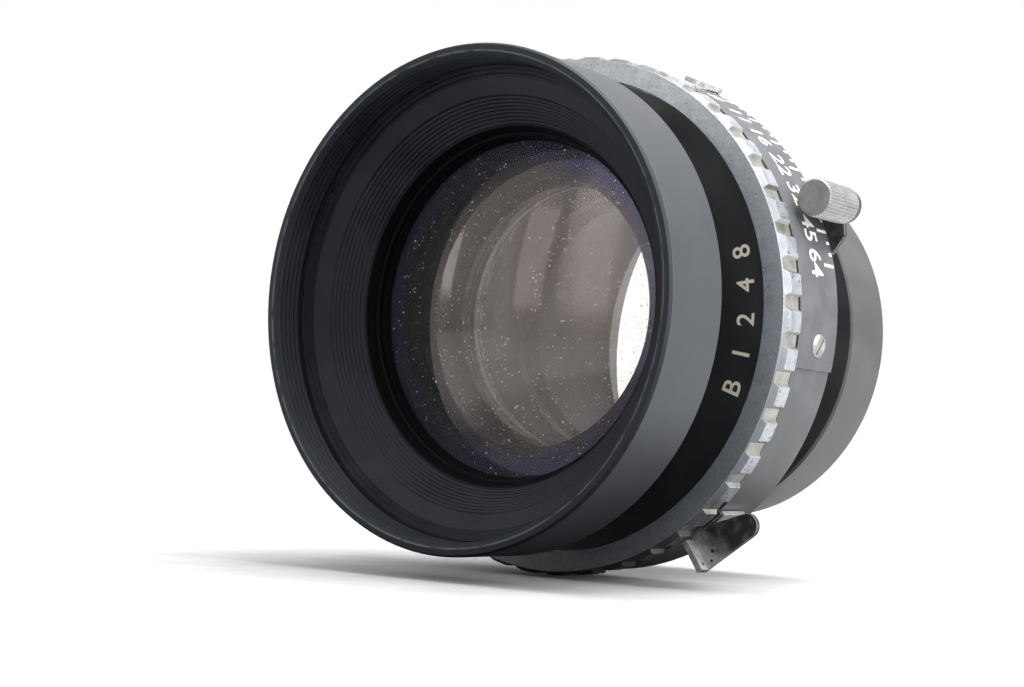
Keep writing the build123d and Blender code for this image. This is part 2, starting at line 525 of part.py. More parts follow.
def build_case():
    """Shutter case, scale strip, seat ring, mounting tube and nut."""
    case = turned(
        (CASE_BORE_R, CASE_AT), (CASE_R - 0.2, CASE_AT), (CASE_R, CASE_AT + 0.2),
        (CASE_R, CASE_REAR - CASE_BEVEL), (CASE_R - CASE_BEVEL, CASE_REAR), (TUBE_R, CASE_REAR),
        (TUBE_R, BACK_WALL_AT + TUBE_FLANGE_T),
        (TUBE_FLANGE_R + RUN, BACK_WALL_AT + TUBE_FLANGE_T), (TUBE_FLANGE_R + RUN, BACK_WALL_AT),
        (IRIS_BORE_CASE, BACK_WALL_AT), (IRIS_BORE_CASE, IRIS_LAYER - SLIDE),
        (RING_BORE_CASE, IRIS_LAYER - SLIDE), (RING_BORE_CASE, PLATE_REAR), (CASE_BORE_R, PLATE_REAR),
    )
    lever_slot = COCK_RING_AT + SLIDE - CASE_AT
    cuts = [
        case_slot(COCK_TIP_ANGLE - 2, COCK_ANGLE + COCK_TURN + 3, CASE_AT - 1, 1 + lever_slot),
        case_slot(RELEASE_ANGLE - 7, RELEASE_ANGLE + 14, CASE_AT - 1, 1 + lever_slot),
        case_slot(PREVIEW_ANGLE - 6, PREVIEW_ANGLE + PREVIEW_TURN + 6, SHUTTER_RING_AT - SLIDE,
                  SHUTTER_RING_T + 2 * SLIDE),
    ]
    for angle in screw_angles():
        bottom = CASE_R - SCREW_DEPTH - SLIDE
        cuts.append(radial_rod(SCREW_SHANK_R + RUN, bottom, CASE_R + 1, angle, screw_axial()))
    for radius, angle in ((CABLE_SPIGOT_R, CABLE_ANGLE), (SYNC_SPIGOT_R, SYNC_ANGLE)):
        cuts.append(radial_rod(radius + RUN, CASE_R - SPIGOT_DEPTH, CASE_R + 1, angle, socket_axial()))
    half = CARRIER_PIN_R + SLOT_CLEAR
    track = CenterArc((0, 0), CARRIER_RADIUS, CARRIER_ANGLE - 1, IRIS_TURN + 2)
    cuts.append(prism(SlotArc(track, 2 * half), BACK_WALL_AT - 1, CASE_REAR - BACK_WALL_AT + 2))
    for angle in seat_screw_angles():
        at = polar(SEAT_SCREW_PCR, angle)
        cuts.append(disc(SCREW_SHANK_R + RUN, BACK_WALL_AT + 0.5 - 2 * SLIDE, CASE_REAR - BACK_WALL_AT, at))
    save("shutter_case", case - cuts)

    strip = sector(CASE_R, STRIP_R, SCALE_FROM, SCALE_TO, CASE_AT, CASE_LEN)
    heads = []
    for angle in screw_angles():
        strip -= radial_rod(SCREW_HEAD_R + RUN, CASE_R - 1, STRIP_R + 1, angle, screw_axial())
        head = radial_rod(SCREW_HEAD_R, CASE_R, STRIP_R, angle, screw_axial())
        crown = Cone(SCREW_HEAD_R, SCREW_HEAD_R - SCREW_CROWN_IN, SCREW_CROWN, align=UPRIGHT)
        head += Rot(0, 0, angle) * Pos(STRIP_R, 0, screw_axial()) * Rot(0, 90, 0) * crown
        shank = radial_rod(SCREW_SHANK_R, CASE_R - SCREW_DEPTH, CASE_R, angle, screw_axial())
        slot = Box(2 * SCREW_CROWN, 4 * SCREW_HEAD_R, SCREW_SLOT)
        top = Pos(STRIP_R + SCREW_CROWN, 0, screw_axial())
        slot = Rot(0, 0, angle) * top * Rot(SLOT_LEAN, 0, 0) * slot
        heads.append(head + shank - slot)
    save("scale_strip", strip)
    save("scale_screws", *heads)

    seat = turned(
        (TUBE_R + RUN, CASE_REAR), (SEAT_R, CASE_REAR), (SEAT_R, SEAT), (SEAT_INNER_R, SEAT),
        (SEAT_INNER_R, SEAT - SEAT_RECESS), (COLLAR_R, SEAT - SEAT_RECESS), (COLLAR_R, SEAT + COLLAR_LEN),
        (TUBE_R + RUN, SEAT + COLLAR_LEN),
    )
    screws = []
    head_at = SEAT - SEAT_RECESS - SEAT_SCREW_HEAD - 2 * SLIDE
    shank_at = BACK_WALL_AT + 0.5
    for angle in seat_screw_angles():
        at = polar(SEAT_SCREW_PCR, angle)
        seat -= disc(SCREW_HEAD_R + RUN, head_at, 2, at)
        seat -= disc(SCREW_SHANK_R + RUN, CASE_REAR - 1, 3, at)
        head = disc(SCREW_HEAD_R, head_at, SEAT_SCREW_HEAD, at)
        shank = disc(SCREW_SHANK_R, shank_at, head_at - shank_at, at)
        slot = Rot(0, 0, angle + 25) * Box(3 * SCREW_HEAD_R, SCREW_SLOT, 0.5)
        slot = Pos(*at, head_at + SEAT_SCREW_HEAD) * slot
        screws.append(head + shank - slot)
    save("seat_ring", seat)
    save("seat_screws", *screws)

    tube = turned(
        (REAR_THREAD_R, BACK_WALL_AT), (TUBE_FLANGE_R, BACK_WALL_AT),
        (TUBE_FLANGE_R, BACK_WALL_AT + TUBE_FLANGE_T), (TUBE_R - RUN, BACK_WALL_AT + TUBE_FLANGE_T),
        (TUBE_R - RUN, TUBE_END), (REAR_THREAD_R, TUBE_END),
    )
    save("mounting_tube", tube)

    nut = ring(TUBE_R, NUT_R, SEAT + NUT_AT, NUT_T)
    nut = chamfer(nut.edges().filter_by(GeomType.CIRCLE).sort_by(SortBy.RADIUS)[-2:], 0.3)
    for turn in (0, 90):
        nut -= Pos(0, 0, SEAT + NUT_AT + NUT_T) * Rot(0, 0, turn) * Box(2 * NUT_R + 2, NUT_SLOT, 1.6)
    save("board_nut", nut)


def screw_axial():
    """Axial place of the scale strip's screws."""
    return CASE_AT + 0.55 * CASE_LEN


def socket_axial():
    """Axial place of the two sockets on the case wall."""
    return CASE_REAR - CABLE_BOSS_R - 1.2


def screw_angles():
    """Dial angles of the scale strip's screws."""
    return SCALE_FROM + SCREW_INSET, SCALE_TO - SCREW_INSET


def seat_screw_angles():
    """Dial angles of the seat ring's screws."""
    return [30 + 120 * number for number in range(3)]


# ---------------------------------------------------------------- plates and speed ring
def build_plates():
    """Face plate, mechanism plate with the threaded tube, and iris plate."""
    face_bore = SHUTTER_TUBE_R + RUN
    save("face_plate", ring(face_bore, FACE_R, SHUTTER_FACE, FACE_T))

    plate = turned(
        (FRONT_THREAD_R, SHUTTER_FACE), (SHUTTER_TUBE_R, SHUTTER_FACE), (SHUTTER_TUBE_R, PLATE_AT),
        (CASE_BORE_R - RUN, PLATE_AT), (CASE_BORE_R - RUN, PLATE_REAR), (OPENING_R - RUN, PLATE_REAR),
        (OPENING_R - RUN, PLATE_AT), (FRONT_THREAD_R, PLATE_AT),
    )
    holes = []
    for number in range(SHUTTER_BLADES):
        at = polar(PIVOT_R, blade_angle(number, SHUTTER_BLADES))
        holes.append(disc(PIN_R + RUN, PLATE_REAR - PIN_DEPTH - SLIDE, 1, at))
    for at, radius in post_places():
        holes.append(disc(radius + RUN, PLATE_AT - 1, 1 + POST_DEPTH, at))
    save("mechanism_plate", plate - holes)

    iris_plate = ring(OPENING_R - RUN, RING_BORE_CASE - RUN, IRIS_PLATE_AT, IRIS_PLATE_T)
    for number in range(IRIS_BLADES):
        at = polar(PIVOT_R, blade_angle(number, IRIS_BLADES))
        iris_plate -= disc(PIN_R + RUN, IRIS_PLATE_AT - 1, 3, at)
    save("iris_plate", iris_plate)


def build_speed_ring():
    """Notched speed ring with its cam web."""
    edge_at = DIAL_AT + DIAL_SLOPE
    body = turned(
        (DIAL_BORE_R, DIAL_AT), (DIAL_EDGE_R, edge_at), (DIAL_CROWN_R, edge_at + DIAL_BEVEL),
        (DIAL_CROWN_R, DIAL_REAR), (CASE_BORE_R, DIAL_REAR), (CASE_BORE_R, WEB_AT + DIAL_WEB_T),
        (SHUTTER_TUBE_R + RUN, WEB_AT + DIAL_WEB_T), (SHUTTER_TUBE_R + RUN, WEB_AT), (DIAL_BORE_R, WEB_AT),
    )
    pitch = 360 / DIAL_TEETH
    bottom = DIAL_EDGE_R + DIAL_RECESS
    half_floor = radians(pitch / 2) * DIAL_FLOOR_SHARE * bottom
    half_mouth = half_floor + DIAL_FLANK
    rise = DIAL_CROWN_R - bottom + 0.3
    mouth = bottom + rise
    corners = [(bottom, -half_floor), (mouth, -half_mouth), (mouth, half_mouth), (bottom, half_floor)]
    scoop = Polyline(*corners, close=True)
    cutter = prism(make_face(scoop), DIAL_AT - 0.1, DIAL_LEN + 0.2)
    cuts = [Rot(0, 0, pitch * number + DIAL_PHASE) * cutter for number in range(DIAL_TEETH)]
    cam_r = (SHUTTER_TUBE_R + DIAL_BORE_R) / 2
    for offset, start, sweep in CAM_TRACKS:
        track = SlotArc(CenterArc((0, 0), cam_r + offset, start, sweep), CAM_TRACK_WIDTH)
        cuts.append(prism(track, WEB_AT - 0.5, DIAL_WEB_T + 1))
    save("speed_ring", body - cuts)


# ---------------------------------------------------------------- blades
def blade_angle(number, count):
    """Dial angle of a blade's pivot."""
    return 360 / count * number + 14


def blade(number, count, span, layer, pivot_from, drive_to):
    """Curved blade with its pivot pin forward and its drive pin rearward."""
    middle = (OPENING_R + BLADE_BODY_R) / 2
    tip_r = (BLADE_BODY_R - OPENING_R) / 2
    body_span = span - degrees(tip_r / middle)
    web_end = DRIVE_PIN_ANGLE + 1
    shape = sector_face(OPENING_R, BLADE_BODY_R, -2, body_span)
    shape += Pos(*polar(middle, body_span)) * Circle(tip_r)
    shape += sector_face(BLADE_BODY_R - 0.5, PIVOT_R, -2, web_end)
    shape += Pos(PIVOT_R, 0) * Circle(PIVOT_BOSS_R)
    drive = polar(DRIVE_PIN_RADIUS, DRIVE_PIN_ANGLE)
    shape += Pos(*drive) * Circle(DRIVE_BOSS_R)
    front = layer + number * BLADE_PITCH
    solid = prism(shape, front, BLADE_T)
    solid += disc(PIN_R, pivot_from, front + BLADE_T - pivot_from, (PIVOT_R, 0))
    solid += disc(PIN_R, front, drive_to - front, drive)
    return Rot(0, 0, blade_angle(number, count)) * solid


def slot_path(swing, turn, share):
    """Place of a drive pin, seen from its ring, when the ring has made a share of its turn."""
    start = Vector(*polar(DRIVE_PIN_RADIUS, DRIVE_PIN_ANGLE))
    pivot = Vector(PIVOT_R, 0)
    moved = pivot + (start - pivot).rotate(Axis.Z, swing * share)
    return moved.rotate(Axis.Z, -turn * share)


def drive_ring(count, swing, turn, outer, front, thickness):
    """Ring whose slots swing the blades."""
    body = ring(RING_BORE_R, outer, front, thickness)
    points = [slot_path(swing, turn, share) for share in (-0.01, 0.5, 1.01)]
    slot = prism(SlotArc(ThreePointArc(*points), 2 * (PIN_R + SLOT_CLEAR)), front - 1, thickness + 2)
    return body - [Rot(0, 0, blade_angle(number, count)) * slot for number in range(count)]


def build_iris():
    """Seven iris blades and the ring that swings them."""
    ring_rear = CAM_RING_AT + CAM_RING_T
    for number in range(IRIS_BLADES):
        leaf = blade(number, IRIS_BLADES, IRIS_SPAN, IRIS_LAYER, IRIS_PLATE_AT + 2 * SLIDE, ring_rear)
        save(f"iris_blade_{number + 1}", leaf)
    cam = drive_ring(IRIS_BLADES, IRIS_SWING, IRIS_TURN, IRIS_BORE_CASE - RUN, CAM_RING_AT, CAM_RING_T)
    hole = disc(CARRIER_PIN_R, CAM_RING_AT - 1, 3, polar(CARRIER_RADIUS, CARRIER_ANGLE))
    save("iris_cam_ring", cam - hole)


def build_shutter_blades():
    """Five shutter blades, open at rest, and the ring that swings them."""
    ring_rear = SHUTTER_RING_AT + SHUTTER_RING_T
    for number in range(SHUTTER_BLADES):
        leaf = blade(number, SHUTTER_BLADES, SHUTTER_SPAN, SHUTTER_LAYER, PLATE_REAR - PIN_DEPTH, ring_rear)
        save(f"shutter_blade_{number + 1}", leaf)
    outer = RING_BORE_CASE - RUN
    body = drive_ring(SHUTTER_BLADES, SHUTTER_SWING, PREVIEW_TURN, outer, SHUTTER_RING_AT, SHUTTER_RING_T)
    arm = sector(outer - 1, PREVIEW_REACH - TAB_T, PREVIEW_ANGLE - 4, PREVIEW_ANGLE + 4,
                 SHUTTER_RING_AT, SHUTTER_RING_T)
    save("shutter_drive_ring", body + arm)
    tab = sector(PREVIEW_REACH - TAB_T, PREVIEW_REACH, PREVIEW_ANGLE - 5, PREVIEW_ANGLE + 5,
                 SHUTTER_RING_AT - PREVIEW_TAB_LEN, PREVIEW_TAB_LEN + SHUTTER_RING_T)
    save("preview_tab", tab)


# ---------------------------------------------------------------- aperture control
def build_aperture_control():
    """Ring behind the case with its knob, index and the pin that reaches the iris."""
    ring_bore = SEAT_R + RUN
    at = polar(KNOB_CENTRE_R, KNOB_ANGLE)
    body = ring(ring_bore, ARM_RING_R, ARM_AT, ARM_T)
    root = [polar(ARM_RING_R - 1.5, KNOB_ANGLE - 6), polar(ARM_RING_R - 1.5, FOOT_ANGLE + 2)]
    knob_half = degrees(KNOB_R / KNOB_CENTRE_R)
    shoulder = polar(KNOB_CENTRE_R, KNOB_ANGLE - 0.9 * knob_half)
    elbow = polar(KNOB_CENTRE_R - 0.9, KNOB_ANGLE + 1.6 * knob_half)
    arm = make_face(Polyline(root[0], root[1], polar(FOOT_R, FOOT_ANGLE), elbow, at, shoulder, close=True))
    arm += Pos(*at) * Circle(KNOB_R * 0.92)
    body += prism(arm, ARM_AT, ARM_T)
    body -= disc(KNOB_RIVET_R + RUN, ARM_AT - 1, 3, at)
    pin_at = polar(CARRIER_RADIUS, CARRIER_ANGLE)
    body -= disc(CARRIER_PIN_R, ARM_AT - 1, 3, pin_at)
    save("aperture_ring", body)

    knob = disc(KNOB_R, ARM_AT - KNOB_LEN, KNOB_LEN, at)
    knob = chamfer(knob.edges().filter_by(GeomType.CIRCLE), 0.2)
    middle = Pos(*at, ARM_AT - KNOB_LEN / 2)
    flute = Pos(KNOB_R, 0) * Rot(0, 0, 45) * Box(FLUTE, FLUTE, KNOB_LEN + 2)
    flutes = []
    for number in range(KNOB_FLUTES):
        flutes.append(middle * Rot(0, 0, 360 / KNOB_FLUTES * number) * flute)
    rivet = disc(KNOB_RIVET_R, ARM_AT - 0.5, ARM_T + 0.5, at)
    save("aperture_knob", knob - flutes + rivet)

    strap_in = STRIP_R + INDEX_CLEAR
    strap_out = strap_in + INDEX_T
    arm_rear = ARM_AT + ARM_T
    strap_at = CASE_REAR - INDEX_REACH
    half = degrees(INDEX_WIDTH / 2 / strap_in)
    start = STOP_WIDE - half
    end = STOP_WIDE + half
    leg = sector(ARM_RING_R - 2, strap_out, start, end, arm_rear, INDEX_T)
    strap = sector(strap_in, strap_out, start, end, strap_at, arm_rear - strap_at)
    save("aperture_index", leg + strap)

    pin_front = CAM_RING_AT + SLIDE
    pin = disc(CARRIER_PIN_R, pin_front, ARM_AT + ARM_T - pin_front, pin_at)
    save("iris_carrier_pin", pin)


# ---------------------------------------------------------------- clockwork
def gear_face(teeth, bore):
    """Flat toothed wheel with straight-sided teeth and backlash."""
    pitch_r = GEAR_MODULE * teeth / 2
    tip = pitch_r + 0.85 * GEAR_MODULE
    root = pitch_r - 1.1 * GEAR_MODULE
    half_pitch = radians(90 / teeth)
    outline = []
    for number in range(teeth):
        middle = 2 * pi * number / teeth
        for radius, share in ((root, -0.62), (tip, -0.22), (tip, 0.22), (root, 0.62)):
            angle = degrees(middle + share * half_pitch)
            outline.append(polar(radius, angle))
    return make_face(Polyline(*outline, close=True)) - Circle(bore)


def train_places():
    """Centres of the retard gear and of the flywheel's pinion."""
    spacing = GEAR_MODULE * (GEAR_TEETH + PINION_TEETH) / 2 + GEAR_CLEAR
    step = 2 * degrees(asin(spacing / 2 / TRAIN_R))
    return (TRAIN_R, TRAIN_ANGLE), (TRAIN_R, TRAIN_ANGLE + step)


def post_places():
    """Centre and radius of each post that stands in the mechanism plate."""
    gear, wheel = train_places()
    posts = [(polar(*gear), ARBOR_R), (polar(*wheel), ARBOR_R)]
    posts.append((polar(RELEASE_PIVOT_R, RELEASE_ANGLE), ARBOR_R))
    posts.append((polar(SPRING_POST_R, MAIN_SPRING_ANGLE), SPRING_POST_SIZE))
    return posts


def coil_length(turns):
    """Length of a close coil."""
    return WIRE_R * (2.2 * turns + 2)


def coil(radius, at, front, turns):
    """Close coil of round wire."""
    pitch = 2.2 * WIRE_R
    path = Helix(pitch, pitch * turns, radius)
    section = Plane(origin=path @ 0, z_dir=path % 0) * Circle(WIRE_R)
    return Pos(at[0], at[1], front + WIRE_R) * sweep(section, path=path)


def build_cocking():
    """Cocking ring, its outside lever and the main spring."""
    bore = SHUTTER_TUBE_R + RUN
    body = ring(bore, COCK_RING_R, COCK_RING_AT, COCK_RING_T)
    notch = Rot(0, 0, NOSE_ANGLE - COCK_TURN) * Pos(COCK_RING_R, 0, COCK_RING_AT + COCK_RING_T / 2)
    save("cocking_ring", body - notch * Box(1.4, 1.4, COCK_RING_T + 1))

    foot = sector(bore + 0.2, COCK_RING_R, COCK_ANGLE - 16, COCK_ANGLE, LEVER_AT, LEVER_T)
    arm = sector(COCK_RING_R - 0.5, STRIP_R + 0.4, COCK_ANGLE - 10, COCK_ANGLE, LEVER_AT, LEVER_T)
    tip = Pos(*polar(COCK_REACH + COCK_TIP_OUT - COCK_TIP_R, COCK_TIP_ANGLE)) * Circle(COCK_TIP_R)
    inside = polar(STRIP_R + 0.1, COCK_ANGLE)
    corner = polar(COCK_REACH, COCK_ANGLE)
    heel = polar(STRIP_R + 0.7, COCK_ANGLE - 7.7)
    edges = ShapeList([Line(inside, corner), Line(corner, heel)]) + tip.edges()
    paddle = prism(make_hull(edges), LEVER_AT, LEVER_T)
    across = COCK_ANGLE - degrees(FLANGE_T / COCK_REACH)
    flange = sector(STRIP_R + 0.6, COCK_REACH, across, COCK_ANGLE, LEVER_AT - FLANGE_LEN, FLANGE_LEN)
    save("cocking_lever", foot + arm + paddle + flange)
    strap_in = CASE_R + STRAP_CLEAR
    strap_at = LEVER_AT + LEVER_T
    strap = sector(strap_in, strap_in + STRAP_T, COCK_ANGLE - 10, COCK_ANGLE - 5.6, strap_at, STRAP_LEN)
    save("cocking_strap", strap)

    at = polar(SPRING_POST_R, MAIN_SPRING_ANGLE)
    front = PLATE_AT - POST_LEN
    save("main_spring_post", disc(SPRING_POST_SIZE, front, POST_LEN + POST_DEPTH, at))
    coil_r = SPRING_POST_SIZE + RUN + WIRE_R
    save("main_spring", coil(coil_r, at, PLATE_AT - coil_length(SPRING_TURNS) - SLIDE, SPRING_TURNS))


def build_release():
    """Release lever on its pivot with a return spring."""
    at = polar(RELEASE_PIVOT_R, RELEASE_ANGLE)
    nose = polar(COCK_RING_R + NOSE_GAP + NOSE_PIN_R, NOSE_ANGLE)
    start = RELEASE_ANGLE - 3
    end = RELEASE_ANGLE + 3
    boss = Pos(*at) * Circle(LEVER_BOSS_R)
    face = sector_face(RELEASE_PIVOT_R - 1, RELEASE_REACH - TAB_T, start, end) + boss
    face += make_hull(boss.edges() + (Pos(*nose) * Circle(NOSE_R)).edges())
    plate = prism(face, LEVER_AT, LEVER_T) - disc(ARBOR_R + RUN, LEVER_AT - 1, 3, at)
    plate += disc(NOSE_PIN_R, LEVER_AT, LEVER_T + COCK_RING_T, nose)
    tab = sector(RELEASE_REACH - TAB_T, RELEASE_REACH, start, end, LEVER_AT, RELEASE_TAB_LEN)
    save("release_lever", plate + tab)
    shoulder_at = LEVER_AT + LEVER_T + SLIDE
    front = LEVER_AT - SLIDE - coil_length(RELEASE_TURNS) - 0.2
    pivot = disc(ARBOR_R, front, PLATE_AT + POST_DEPTH - front, at)
    save("release_pivot", pivot + disc(SHOULDER_R, shoulder_at, PLATE_AT - shoulder_at, at))
    coil_at = LEVER_AT - SLIDE - coil_length(RELEASE_TURNS)
    save("release_spring", coil(ARBOR_R + RUN + WIRE_R, at, coil_at, RELEASE_TURNS))


def build_retard_train():
    """Retard gear, flywheel and the arbors they turn on."""
    gear_at, wheel_at = [polar(*place) for place in train_places()]
    gear_front = COCK_RING_AT - 4 * SLIDE - GEAR_T
    gear = prism(gear_face(GEAR_TEETH, ARBOR_R + RUN), gear_front, GEAR_T)
    save("retard_gear", Pos(*gear_at) * gear)
    aim = degrees(atan2(wheel_at[1] - gear_at[1], wheel_at[0] - gear_at[0]))
    pinion = prism(gear_face(PINION_TEETH, ARBOR_R + RUN), gear_front, GEAR_T)
    wheel = ring(ARBOR_R + RUN, FLYWHEEL_R, gear_front - FLYWHEEL_T, FLYWHEEL_T)
    save("retard_flywheel", Pos(*wheel_at) * (Rot(0, 0, pinion_turn(aim)) * pinion + wheel))
    arbors = []
    for at, front in ((gear_at, gear_front - 0.3), (wheel_at, gear_front - FLYWHEEL_T - 0.3)):
        shoulder_at = gear_front + GEAR_T + SLIDE
        arbor = disc(ARBOR_R, front, PLATE_AT + POST_DEPTH - front, at)
        arbors.append(arbor + disc(SHOULDER_R, shoulder_at, PLATE_AT - shoulder_at, at))
    save("retard_arbors", *arbors)


def pinion_turn(aim):
    """Turn that lays a gap of the pinion on the gear's tooth at the line of centres."""
    share = aim / (360 / GEAR_TEETH) % 1
    return aim + 180 + (share + 0.5) * 360 / PINION_TEETH


# ---------------------------------------------------------------- sockets
def build_sockets():
    """Cable-release socket and flash terminal on the case wall."""
    axial = socket_axial()
    axis_r = CASE_R + CABLE_GAP + CABLE_BOSS_R
    barrel = Pos(axis_r, 0, axial) * Rot(90, 0, 0) * Cylinder(CABLE_BOSS_R, CABLE_LEN)
    foot = Pos((CASE_R + axis_r) / 2 + 0.25, 0, axial) * Box(axis_r - CASE_R + 0.1, 3.0, 3.0)
    foot -= turned((0, axial - 4), (CASE_R, axial - 4), (CASE_R, axial + 4), (0, axial + 4))
    base = CASE_R - SPIGOT_DEPTH + SLIDE
    spigot = radial_rod(CABLE_SPIGOT_R, base, base + 1.6, 0, axial)
    bore = Pos(axis_r, 0, axial) * Rot(90, 0, 0) * Cylinder(CABLE_BORE_R, CABLE_LEN + 2)
    save("cable_socket", Rot(0, 0, CABLE_ANGLE) * (barrel + foot + spigot - bore))

    end = CASE_R + SYNC_LEN
    sleeve = radial_rod(SYNC_R, CASE_R + 0.1, end, SYNC_ANGLE, axial)
    sleeve += radial_rod(SYNC_SPIGOT_R, base, CASE_R + 0.2, SYNC_ANGLE, axial)
    sleeve -= radial_rod(SYNC_R - SYNC_WALL, CASE_R + 0.4, end + 1, SYNC_ANGLE, axial)
    save("sync_sleeve", sleeve)
    insulator = radial_rod(SYNC_R - SYNC_WALL - RUN, CASE_R + 0.4, CASE_R + 1.4, SYNC_ANGLE, axial)
    insulator -= radial_rod(SYNC_PIN_R, CASE_R, end, SYNC_ANGLE, axial)
    save("sync_insulator", insulator)
    save("sync_pin", radial_rod(SYNC_PIN_R, CASE_R + 0.4, end - 0.6, SYNC_ANGLE, axial))


os.makedirs("parts", exist_ok=True)
build_front_cell()
build_rear_cell()
build_case()
build_plates()
build_speed_ring()
build_iris()
build_shutter_blades()
build_aperture_control()
build_cocking()
build_release()
build_retard_train()
build_sockets()
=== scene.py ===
"""Dresses a large-format lens in its leaf shutter and sets it on a pale table.

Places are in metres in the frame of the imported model: +Y runs rearward along the optical axis, +Z is up,
and dial angles turn from +Z towards +X.
"""

import json
import logging
import math
from collections.abc import Callable, Sequence
from dataclasses import dataclass, replace
from enum import Enum

import bmesh
import bpy
from mathutils import Matrix, Vector


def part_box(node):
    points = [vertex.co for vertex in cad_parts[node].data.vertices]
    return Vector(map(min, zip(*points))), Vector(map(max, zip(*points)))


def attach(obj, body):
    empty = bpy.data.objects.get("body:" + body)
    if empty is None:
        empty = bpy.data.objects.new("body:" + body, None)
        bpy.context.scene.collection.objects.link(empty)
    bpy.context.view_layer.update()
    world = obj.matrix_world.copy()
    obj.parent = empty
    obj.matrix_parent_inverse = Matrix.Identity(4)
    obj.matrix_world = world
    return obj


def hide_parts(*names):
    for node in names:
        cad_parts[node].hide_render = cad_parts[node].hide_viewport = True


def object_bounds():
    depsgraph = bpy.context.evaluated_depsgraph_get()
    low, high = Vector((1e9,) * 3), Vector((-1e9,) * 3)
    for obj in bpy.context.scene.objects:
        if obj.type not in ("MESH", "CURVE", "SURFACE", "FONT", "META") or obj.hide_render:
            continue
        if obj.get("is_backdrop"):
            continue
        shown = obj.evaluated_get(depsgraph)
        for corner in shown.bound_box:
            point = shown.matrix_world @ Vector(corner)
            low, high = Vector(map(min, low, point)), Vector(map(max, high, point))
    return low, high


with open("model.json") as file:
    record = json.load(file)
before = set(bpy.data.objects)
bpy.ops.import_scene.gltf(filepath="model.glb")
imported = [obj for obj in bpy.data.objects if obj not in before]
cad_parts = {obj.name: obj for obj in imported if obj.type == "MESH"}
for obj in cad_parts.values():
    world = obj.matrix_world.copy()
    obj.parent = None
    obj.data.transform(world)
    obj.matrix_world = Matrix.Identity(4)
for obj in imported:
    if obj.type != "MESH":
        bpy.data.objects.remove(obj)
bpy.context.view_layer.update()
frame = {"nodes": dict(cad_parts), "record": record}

LOG = logging.getLogger("lens")
MM = 0.001
TURN = 2 * math.pi
MARK_LIFT = 0.03 * MM
MERGE = 1e-7
PIECE_CREASE = math.radians(35)
SOLID_CREASE = math.radians(24)

Socket = bpy.types.NodeSocket
Material = bpy.types.Material
Colour = tuple[float, float, float]
Input = float | Colour | tuple[float, ...] | Socket
Placing = Callable[[Vector], Vector]


